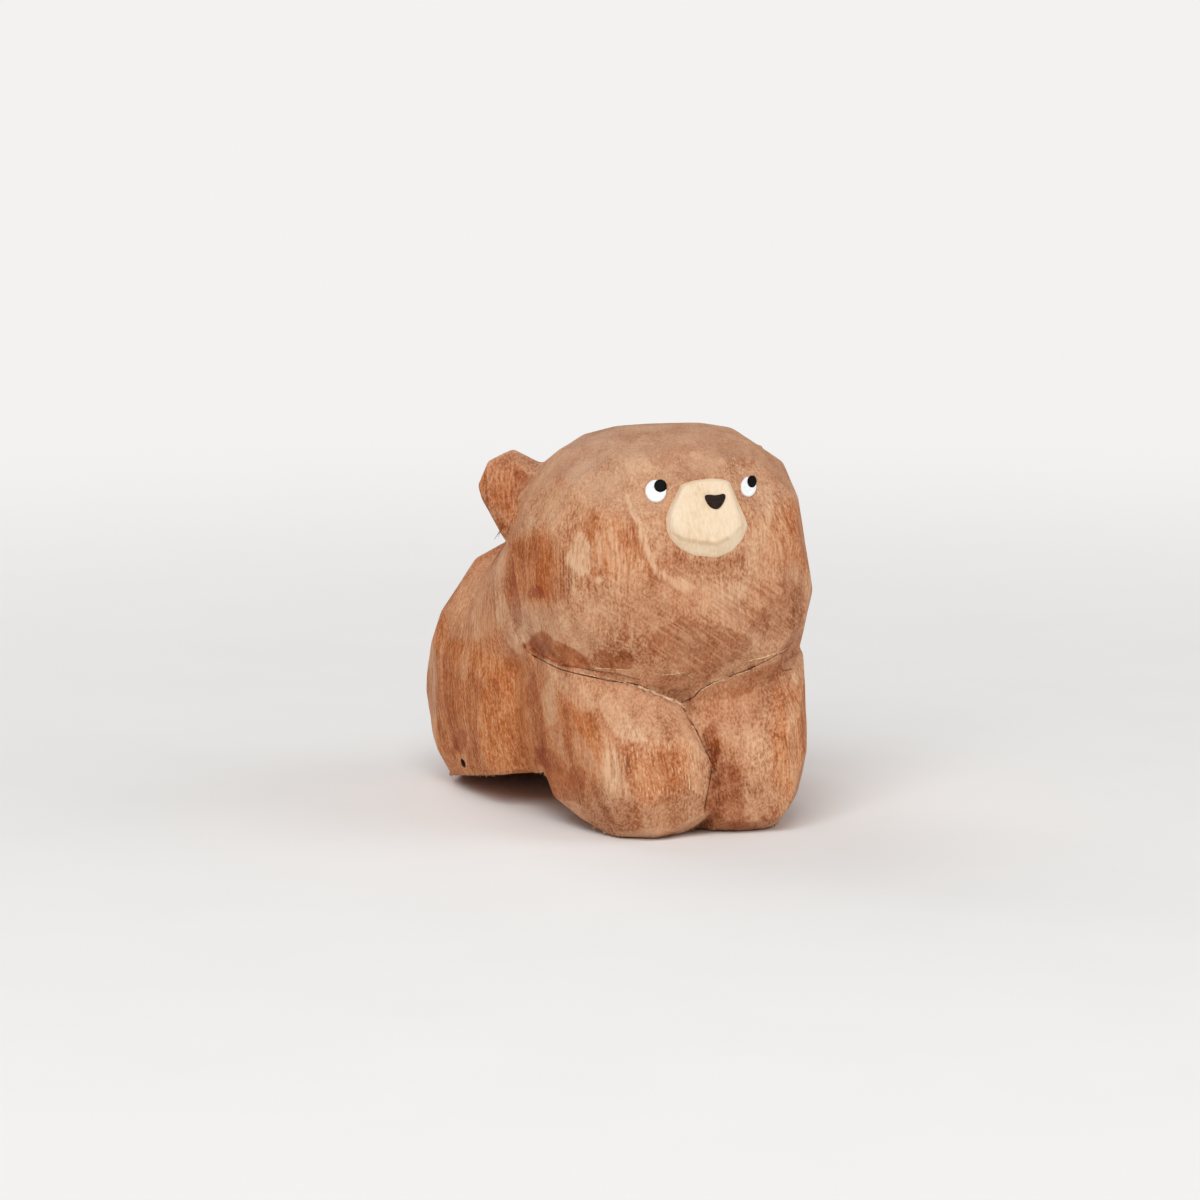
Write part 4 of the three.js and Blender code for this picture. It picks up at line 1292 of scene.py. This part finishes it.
fleck_share = maths(tree, "MULTIPLY_ADD", mark(tree, "torn"), FLECK_TORN, FLECK_SHARE)
flecked = blended(tree, maths(tree, "MULTIPLY", fibre["Fleck"], fleck_share), warmed, FLECK_PALE)
pore_share = maths(tree, "MULTIPLY_ADD", mark(tree, "grain"), PORE_GRAIN, PORE_SHARE)
pored = blended(tree, maths(tree, "MULTIPLY", fibre["Pore"], pore_share), flecked, PORE_BROWN)

rasp_place = add(tree, "Mapping", Vector=place, Rotation=(0, RASP_TURN, 0)).outputs[0]
rasp_noise = speckle(tree, rasp_place, (2.8, 1.2, 0.06), detail=1.0)
rasp = mark(tree, "rasp")
rasp_low = maths(tree, "MULTIPLY", rasp, spread(tree, rasp_noise, 0.5, 0.34, 0.0, RASP_DARK_SHARE))
rasp_high = maths(tree, "MULTIPLY", rasp, spread(tree, rasp_noise, 0.5, 0.66, 0.0, RASP_PALE_SHARE))
rasped = blended(tree, rasp_low, pored, RASP_DARK)
rasped = blended(tree, rasp_high, rasped, RASP_PALE)

worn_share = maths(tree, "MULTIPLY", mark(tree, "worn"), maths(tree, "MULTIPLY", blotch["Cloud"], WORN_SHARE))
rubbed = blended(tree, worn_share, rasped, WORN_PALE)
# Painted sheen: faces that point up are greyed, the way light from above greys the crown.
upwards = add(tree, "SeparateXYZ", Vector=add(tree, "NewGeometry").outputs["Normal"]).outputs[2]
crown_share = maths(tree, "SUBTRACT", 1.0, maths(tree, "MULTIPLY", mark(tree, "flank"), PAINTED_SHEEN_FLANK))
sheen_share = maths(tree, "MULTIPLY", crown_share, spread(tree, upwards, 0.3, 0.95, 0.0, PAINTED_SHEEN_SHARE))
sheened = blended(tree, sheen_share, rubbed, PAINTED_SHEEN_GREY)
# Stop cuts and cracks darkened with soaked-in stain and painted shade.
groove_share = maths(tree, "MULTIPLY", mark(tree, "groove"),
                     spread(tree, blotch["Cloud"], 0.0, 1.0, 0.95, 0.7))
grooved = blended(tree, groove_share, sheened, GROOVE_STAIN_AND_SHADE)
# The knot hole is near black: dark knot wood and painted shade inside the hole.
base = blended(tree, mark(tree, "knot"), grooved, KNOT_DARK_AND_SHADE)

height = share_sum(tree, 0.5, [(fibre["Streak"], 0.35), (fibre["Fuzz"], 0.4), (fibre["Pore"], -0.5)])
height = maths(tree, "MULTIPLY_ADD", rasp_high, 0.6, height)
coat(tree, shader, base, height, (0.5, 0.12 * MM), spread(tree, tone, 0.2, 0.9, 0.68, 0.52), 0.15)
print("stained wood:", len(tree.nodes), "nodes")

# %% Dress the carved pieces
SEAM_ANGLE = math.radians(52)
for node, mesh in carved.items():
    mesh.shade_smooth()
    mesh.set_sharp_from_angle(angle=SEAM_ANGLE)
    mesh.materials.clear()
    mesh.materials.append(stained_wood)
    piece = stand("carved_" + node, mesh)
    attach(piece, "root")
    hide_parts(node)
    print(piece.name, len(mesh.polygons), "faces")

# %% [markdown]
# ## The muzzle
# The muzzle is a raised pad of the same wood with a flat front and wide hand-cut chamfers, washed with thin
# cream paint. Its outline at the foot and the outline of its flat front are a few pixels of the photograph
# each. The lines of sight through them meet a plane just behind the CAD pad's back and one before it, so the
# pad sits where the CAD pad does. One face is drawn below the foot and extruded to the foot and the front,
# and the solid is fused and sanded as the body was. The wash is browner along the front's lower edge.

# %% Muzzle pad
MUZZLE_FOOT = (
    (681, 484), (694, 480), (709, 478), (721, 478.5), (729.5, 480.5), (738.5, 501), (745.5, 516.5),
    (749, 526), (743.5, 539.5), (734, 550.5), (718, 558), (694, 556), (681, 550), (671.5, 541),
    (666.5, 531), (665.5, 519), (668.5, 509), (674.5, 498),
)
MUZZLE_FRONT = (
    (684, 486.5), (695, 482.5), (709, 480.5), (721, 481), (727.5, 483.5), (734.5, 501), (739, 515.5),
    (741.5, 526), (734.5, 531.5), (727, 538), (719, 543), (694, 538.5), (683, 535.5), (677, 531),
    (673.5, 524), (672, 517.5), (673.5, 509), (678, 499),
)
PAD_GRID = 0.12 * MM
PAD_PASSES = 34
PAD_ROOT = 0.8 * MM
PAD_SINK, PAD_RISE = 0.35 * MM, 1.5 * MM
# A browner line along the front's lower edge.
EDGE_LINE_OUTLINES = (
    (1.0, 3.0, ((671, 532), (684, 537.5), (700, 540.5), (716, 542), (728, 536), (729.5, 539.5),
        (717, 546), (699, 544.5), (682, 541.5))),
)


def softened(solid, grid, passes):
    """A fine, sanded bmesh of a small closed solid."""
    soft = bmesh.new()
    soft.from_mesh(fused(mesh_of(solid, "solid"), grid))
    for _ in range(passes):
        bmesh.ops.smooth_vert(soft, verts=soft.verts, factor=RUB_FACTOR,
                              use_axis_x=True, use_axis_y=True, use_axis_z=True)
    soft.normal_update()
    return soft


muzzle_at, muzzle_out = largest_flat("muzzle")
head_middle = sum((Vector(corner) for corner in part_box("head")), Vector()) / 2
muzzle_out = muzzle_out if muzzle_out.dot(muzzle_at - head_middle) > 0 else -muzzle_out
levels = [vert.co.dot(muzzle_out) for vert in frame["nodes"]["muzzle"].data.vertices]
muzzle_at += muzzle_out * (min(levels) - muzzle_at.dot(muzzle_out) - PAD_SINK)
muzzle_top = muzzle_at + muzzle_out * PAD_RISE
foot = [on_plane(pixel, muzzle_at, muzzle_out) for pixel in MUZZLE_FOOT]
top = [on_plane(pixel, muzzle_top, muzzle_out) for pixel in MUZZLE_FRONT]
pad = raised_pad(([corner - muzzle_out * PAD_ROOT for corner in foot], foot, top))
muzzle_mesh = mesh_of(softened(pad, PAD_GRID, PAD_PASSES), "muzzle_pad")
muzzle_mesh.shade_smooth()
put_mark(muzzle_mesh, "edge_line", outline_tone(pixels_of(arrays_of(muzzle_mesh)[0]), EDGE_LINE_OUTLINES))
print("muzzle:", len(muzzle_mesh.polygons), "faces,", round(PAD_RISE / MM, 2), "mm thick")

# %% Cream wash
CREAM_STOPS = ((0.0, colour(220, 184, 144)), (0.45, colour(236, 210, 177)), (1.0, colour(244, 226, 200)))
CREAM_PORE, CREAM_PORE_SHARE = colour(214, 172, 128), 0.22
EDGE_LINE_BROWN = colour(194, 152, 108)

cream_wash, tree, shader = new_material("cream_wash")
place = fibre_place(tree)
fibre = placed(tree, fibre_tree, Place=place)
blotch = placed(tree, blotch_tree, Place=place)
tone = share_sum(tree, 0.55, [(fibre["Streak"], 0.35), (fibre["Fuzz"], 0.15), (blotch["Cloud"], 0.35)])
base = ramp(tree, tone, CREAM_STOPS)
pored = blended(tree, maths(tree, "MULTIPLY", fibre["Pore"], CREAM_PORE_SHARE), base, CREAM_PORE)
# The wash is browner along the front's lower edge.
edge_line_share = maths(tree, "MULTIPLY", mark(tree, "edge_line"),
                     spread(tree, blotch["Cloud"], 0.0, 1.0, 0.3, 0.65))
edge_lined = blended(tree, edge_line_share, pored, EDGE_LINE_BROWN)
height = share_sum(tree, 0.5, [(fibre["Streak"], 0.4), (fibre["Fuzz"], 0.3), (fibre["Pore"], -0.3)])
coat(tree, shader, edge_lined, height, (0.35, 0.06 * MM), spread(tree, fibre["Fuzz"], 0.0, 1.0, 0.55, 0.7), 0.3)
muzzle_mesh.materials.append(cream_wash)
muzzle = stand("muzzle_pad", muzzle_mesh)
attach(muzzle, "root")
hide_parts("muzzle")
print("cream wash:", len(tree.nodes), "nodes")

# %% [markdown]
# ## Eyes and nose
# Eyes, pupils and nose are thick drops of acrylic paint. Wet paint draws itself into a low dome with a
# rounded rim. Each drop is a few rings of corners: a root in the wood, the rim, and a smaller ring on top,
# which are extruded, fused on a very fine grid and sanded round. The eyes lie on the cheeks' cuts and look a
# little to the sides, and the pupils overlap the white's upper rim towards the bear's left. Ovals and nose
# are given in pixels, and their corners are where the lines of sight meet the plane of the cut or the muzzle.

# %% Paint drops
EYES = {"right": ((655.8, 490.9), (10.6, 11.0)), "left": ((748.6, 486.7), (7.6, 10.0))}
PUPILS = {"right": ((660.4, 485.8), (6.5, 6.5)), "left": ((751.9, 481.5), (4.7, 6.2))}
NOSE = (
    (704.6, 496.2), (706.3, 494.8), (710.2, 494.9), (714.6, 495.4), (718.8, 494.8), (722.9, 493.8),
    (725.2, 495.0), (725.2, 498.4), (723.3, 502.9), (720.9, 506.6), (717.8, 509.1), (713.9, 509.1),
    (710.3, 507.2), (707.2, 503.8), (705.3, 499.7),
)
DROP_GRID = 0.06 * MM
DROP_CORNERS = 28
DROP_ROOT = 0.5 * MM
WHITE_RISE, PUPIL_RISE, NOSE_RISE = 0.2 * MM, 0.42 * MM, 0.34 * MM
TOP_SHARE, RIM_SHARE = 0.8, 0.6
EYE_PASSES, NOSE_PASSES = 8, 6


def rim_oval(oval, at, out):
    """Corners of an oval of pixels, on a plane that faces out."""
    (column, row), (wide, high) = oval
    turns = [2 * math.pi * step / DROP_CORNERS for step in range(DROP_CORNERS)]
    rim = [(column + wide * math.cos(turn), row + high * math.sin(turn)) for turn in turns]
    return [on_plane(pixel, at, out) for pixel in rim]


def paint_drop(rim, out, rise, passes):
    """A drop of paint on a rim: a root below it, most of its rise at the rim, and a rounded top."""
    middle = sum(rim, Vector()) / len(rim)
    root = [corner - out * DROP_ROOT for corner in rim]
    edge = [corner + out * rise * RIM_SHARE for corner in rim]
    top = [middle + (corner - middle) * TOP_SHARE + out * rise for corner in rim]
    mesh = mesh_of(softened(raised_pad((root, edge, top)), DROP_GRID, passes), "drop")
    mesh.shade_smooth()
    return mesh


drops = {}
for hand, (at, out) in eye_planes.items():
    white = paint_drop(rim_oval(EYES[hand], at, out), out, WHITE_RISE, EYE_PASSES)
    drops[hand + "_eye_white"] = (white, "white_paint", "white_paint")
    rim = [corner - out * WHITE_RISE for corner in rim_oval(PUPILS[hand], at + out * WHITE_RISE, out)]
    drops[hand + "_pupil"] = (paint_drop(rim, out, PUPIL_RISE, EYE_PASSES), "black_paint", "black_paint")
nose_rim = [on_plane(pixel, muzzle_top, muzzle_out) for pixel in NOSE]
drops["nose"] = (paint_drop(nose_rim, muzzle_out, NOSE_RISE, NOSE_PASSES), "nose_paint", "black_paint")
print("paint drops:", sorted(drops))

# %% Paints


def paint(name, dark, light, rough, gloss):
    """Brushed acrylic paint: a faint unevenness in tone, gloss and surface."""
    material, tree, shader = new_material(name)
    place = fibre_place(tree)
    brush = speckle(tree, place, (1.4, 1.4, 3.5), detail=3.0)
    grain = speckle(tree, place, (9, 9, 9), detail=2.0, offset=(3, 5, 7))
    base = blended(tree, spread(tree, brush, 0.3, 0.7), dark, light)
    coat(tree, shader, base, grain, (0.25, 0.04 * MM), spread(tree, brush, 0.3, 0.7, *rough), gloss)
    return material


PAINTS = {
    "white_paint": paint("white_paint", colour(236, 237, 239), colour(248, 249, 250), (0.35, 0.5), 0.4),
    "black_paint": paint("black_paint", colour(5, 3, 3), colour(13, 9, 8), (0.4, 0.55), 0.08),
    "nose_paint": paint("nose_paint", colour(32, 20, 16), colour(52, 36, 30), (0.5, 0.65), 0.12),
}
for node, (mesh, finish, slot) in drops.items():
    mesh.materials.append(PAINTS[finish])
    drop = stand("painted_" + node, mesh)
    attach(drop, "root")
    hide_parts(node)
    print(drop.name, len(mesh.polygons), "faces")

# %% [markdown]
# ## Raw fibres and splinters
# Where the knife tore the wood, pale unstained fibres stand along the stop cuts, the sawn edge of the seat is
# frayed, and three splinters stick out. Each fibre is a tiny four-sided taper. Those along the cuts lie end
# to end on the surface with a little scatter, which looks like torn wood rather than a drawn line.

# %% Fibres
RAW_LINES = (
    (((638, 686), (655, 693.5), (679, 703.5)), 0.46, 22), (((662, 675), (672, 674), (683, 673)), 0.14, 5),
    (((700, 691), (720, 680), (740, 674), (757, 667)), 0.15, 11),
    (((746, 661.5), (760, 658), (773, 654)), 0.22, 9), (((764, 660), (774, 655), (784, 650)), 0.14, 5),
    (((688, 675), (691, 677)), 0.2, 2), (((579, 673), (598, 677), (616, 680), (630, 684)), 0.14, 11),
    (((596, 668), (612, 669), (626, 670)), 0.12, 6), (((794, 673), (796, 683)), 0.2, 3),
    (((684, 766), (686, 781)), 0.13, 3), (((688, 774), (690, 793)), 0.17, 4),
    (((692, 762), (694, 773)), 0.12, 2), (((643, 770), (645, 782)), 0.12, 2),
    (((452, 628), (458, 616)), 0.1, 3),
)
RAW_SEED = 5
RAW_LENGTH, RAW_LENGTHS = 1.5 * MM, (0.5, 1.2)
RAW_JITTER, RAW_SCATTER = 0.3, 0.07
RAW_FIRST, RAW_LAST, RAW_AHEAD = 0.02, 0.98, 0.04
RAW_SIZES, RAW_LIFT = (0.5, 1.1), 0.2


def sliver(bm, start, end, thick):
    """One fibre: a four-sided taper from start to end."""
    along = end - start
    verts = bmesh.ops.create_cone(bm, segments=4, radius1=thick / 2, radius2=thick / 8, depth=along.length,
                                  cap_ends=True)["verts"]
    bmesh.ops.rotate(bm, verts=verts, cent=(0, 0, 0),
                     matrix=Vector((0, 0, 1)).rotation_difference(along).to_matrix())
    bmesh.ops.translate(bm, verts=verts, vec=(start + end) / 2)


draw = random.Random(RAW_SEED)
raw = bmesh.new()
for pixels, thick, count in RAW_LINES:
    for number in range(count):
        share = (number + draw.uniform(-RAW_JITTER, RAW_JITTER)) / count
        start, out = surface_at(along_line(pixels, min(RAW_LAST, max(0.0, share))))
        ahead, _ = surface_at(along_line(pixels, min(1.0, max(RAW_FIRST, share) + RAW_AHEAD)))
        heading = (ahead - start).normalized()
        scatter = Vector([draw.gauss(0, RAW_SCATTER) for _ in range(3)])
        size = thick * MM * draw.uniform(*RAW_SIZES)
        end = start + (heading + scatter).normalized() * RAW_LENGTH * draw.uniform(*RAW_LENGTHS)
        lift = out * size * RAW_LIFT
        sliver(raw, start + lift, end + lift, size)
raw_mesh = mesh_of(raw, "raw_fibres")
print("raw fibres:", len(raw_mesh.polygons), "faces")

# %% Frayed edges and splinters
SEAT_FRAYS, PAW_FRAYS = 800, 160
FRAY_REACH = 0.6 * MM
FRAY_LENGTHS = (0.14 * MM, 0.42 * MM)
FRAY_THICK = (0.05 * MM, 0.12 * MM)
SPLINTERS = (((500, 531), (494, 540), 0.15), ((501, 530), (498, 538), 0.12), ((712, 768), (721, 785), 0.18))
FLOOR_CLEARANCE = 0.05 * MM
FRAY_LEAN, FRAY_SPREAD, FRAY_JITTER = 0.5, 0.25, 0.1 * MM
SEAT_TURNS, PAW_TURNS = (0.1, 0.85), (-0.2, 0.85)
PAW_REACH, PAW_FRONT = 2.2 * FRAY_REACH, 0.2
SPLINTER_LIFT = 0.2 * MM


def fray(bm, mesh, wanted, count):
    """Short fibres that hang from a piece at the vertices that are wanted."""
    spots, normals, _ = arrays_of(mesh)
    chosen = np.flatnonzero(wanted(spots, normals))
    for number in draw.choices(list(chosen), k=count):
        start, out = Vector(spots[number]), Vector(normals[number])
        hang = seat_out + out * draw.uniform(0.0, FRAY_LEAN)
        hang += Vector([draw.gauss(0, FRAY_SPREAD) for _ in range(3)])
        start += Vector([draw.gauss(0, FRAY_JITTER) for _ in range(3)])
        end = start + hang.normalized() * draw.uniform(*FRAY_LENGTHS)
        end.z = max(end.z, FLOOR_CLEARANCE)
        if (end - start).length > FRAY_LENGTHS[0] / 2:
            sliver(bm, start - hang.normalized() * FRAY_LENGTHS[0], end, draw.uniform(*FRAY_THICK))
    print("fray:", len(chosen), "places")


def seat_rim(spots, normals):
    """The vertices along the sawn rim of the seat."""
    above = (spots - np.array(seat_at)) @ np.array(seat_out)
    turned = normals @ np.array(seat_out)
    return (above > -FRAY_REACH) & (turned > SEAT_TURNS[0]) & (turned < SEAT_TURNS[1])


def paw_rim(spots, normals):
    """The vertices along the front rim of a paw's sole."""
    turned = normals @ np.array(seat_out)
    low = spots[:, 2] < PAW_REACH
    return low & (turned > PAW_TURNS[0]) & (turned < PAW_TURNS[1]) & (normals[:, 1] < PAW_FRONT)


seat = next(mount for mount in frame["record"]["mounts"] if mount["name"] == "seat")
seat_at, seat_out = Vector(seat["pos_m"]), Vector(seat["axis"])
frayed = bmesh.new()
fray(frayed, carved["torso"], seat_rim, SEAT_FRAYS)
for leg in ("right_foreleg", "left_foreleg"):
    fray(frayed, carved[leg], paw_rim, PAW_FRAYS)
frayed_mesh = mesh_of(frayed, "frayed_edges")

splinters = bmesh.new()
for first, last, thick in SPLINTERS:
    start, _ = surface_at(first)
    toward = (camera.location - start).normalized()
    end = on_plane(last, start + toward * SPLINTER_LIFT, toward)
    sliver(splinters, start, end, thick * MM)
splinter_mesh = mesh_of(splinters, "splinters")
print("splinters:", len(splinter_mesh.polygons), "faces")

# %% Fibre wood
FIBRE_WOODS = {
    "raw_fibres": (raw_mesh, colour(206, 160, 120), colour(238, 208, 172), "dowel_wood"),
    "frayed_edges": (frayed_mesh, colour(168, 104, 62), colour(222, 176, 134), "stained_wood"),
    "splinters": (splinter_mesh, colour(92, 52, 32), colour(168, 114, 78), "stained_wood"),
}
for name, (mesh, dark, light, slot) in FIBRE_WOODS.items():
    material, tree, shader = new_material(name)
    tint = spread(tree, speckle(tree, fibre_place(tree), (2.0, 2.0, 1.2), detail=2.0), 0.35, 0.65)
    feed(tree, blended(tree, tint, dark, light), shader["Base Color"])
    feed(tree, spread(tree, tint, 0.0, 1.0, 0.8, 0.65), shader["Roughness"])
    mesh.materials.append(material)
    fibres = stand(name, mesh)
    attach(fibres, "root")
    print(name, len(mesh.polygons), "faces")

# %% [markdown]
# ## Dowels
# The dowels are bare beech rods that sit in their holes. Hardly anything of them can be seen, and they still
# get a wood of their own: the fibre group turned pale.

# %% Dowel wood
BEECH_STOPS = ((0.0, colour(206, 172, 130)), (1.0, colour(232, 206, 168)))
dowel_wood, tree, shader = new_material("dowel_wood")
fibre = placed(tree, fibre_tree, Place=fibre_place(tree, (math.radians(90), 0, 0)))
tone = share_sum(tree, 0.5, [(fibre["Streak"], 0.5), (fibre["Fuzz"], 0.2)])
base = ramp(tree, tone, BEECH_STOPS)
rough = spread(tree, fibre["Fuzz"], 0.0, 1.0, 0.55, 0.7)
coat(tree, shader, base, fibre["Streak"], (0.3, 0.05 * MM), rough, 0.5)
for node in DOWELS:
    slots = frame["nodes"][node].material_slots
    for slot in slots:
        slot.material = dowel_wood
    print(node, "slots:", len(slots))

# %% [markdown]
# ## Floor and light
# A plain pale floor and large soft lamps show the carving without a story around it. The main lamp stands
# high at the front left, as in the photograph, a weaker one fills the other side, a third lights the back,
# and the world gives an even light from all round.

# %% Stage
FLOOR_SIZE = 6.0
FLOOR_NEAR, FLOOR_FAR = 0.06, 0.4
floor_bm = bmesh.new()
bmesh.ops.create_grid(floor_bm, x_segments=8, y_segments=8, size=FLOOR_SIZE / 2)
floor_mesh = mesh_of(floor_bm, "floor")
floor_paper, tree, shader = new_material("floor_paper")
floor_place = add(tree, "TexCoord").outputs["Object"]
mottle = add(tree, "TexNoise", Vector=floor_place, Scale=40.0, Detail=3.0).outputs["Fac"]
feed(tree, blended(tree, mottle, colour(238, 237, 236), colour(243, 242, 241)), shader["Base Color"])
shader["Roughness"].default_value = 0.8
shader["Specular IOR Level"].default_value = 0.2
rays = add(tree, "LightPath").outputs
seen = rays["Is Camera Ray"]
for ray in ("Is Glossy Ray", "Is Transmission Ray"):
    seen = maths(tree, "MAXIMUM", seen, rays[ray])
away = add(tree, "VectorMath", {"operation": "LENGTH"}, Vector=floor_place).outputs["Value"]
glow = add(tree, "Emission", Color=colour(243, 242, 241), Strength=1.0)
mix = add(tree, "MixShader", Fac=maths(tree, "MULTIPLY", seen, spread(tree, away, FLOOR_NEAR, FLOOR_FAR)))
tree.links.new(tree.nodes["Principled BSDF"].outputs[0], mix.inputs[1])
tree.links.new(glow.outputs[0], mix.inputs[2])
tree.links.new(mix.outputs[0], tree.nodes["Material Output"].inputs["Surface"])
floor_mesh.materials.append(floor_paper)
floor = stand("floor", floor_mesh)
print("floor:", FLOOR_SIZE, "m wide")

# %% Lamps
LAMPS = (
    ("key", (-0.50, -0.80, 0.95), 0.9, 12.0),
    ("fill", (0.85, -0.55, 0.55), 0.9, 3.6),
    ("back", (-0.2, 0.9, 0.8), 0.8, 3.4),
)
WORLD_STRENGTH = 0.32
AIM = Vector((0, 0, 0.025))
for name, spot, size, power in LAMPS:
    lamp = bpy.data.lights.new(name, "AREA")
    lamp.size, lamp.energy = size, power
    holder = stand(name, lamp)
    holder.location = spot
    holder.rotation_euler = (AIM - Vector(spot)).to_track_quat("-Z", "Y").to_euler()
world = bpy.context.scene.world or bpy.data.worlds.new("studio")
bpy.context.scene.world = world
world.use_nodes = True
world.node_tree.nodes["Background"].inputs["Color"].default_value = colour(240, 239, 237)
world.node_tree.nodes["Background"].inputs["Strength"].default_value = WORLD_STRENGTH
bpy.context.scene.view_settings.view_transform = "Standard"
print("lamps:", len(LAMPS))
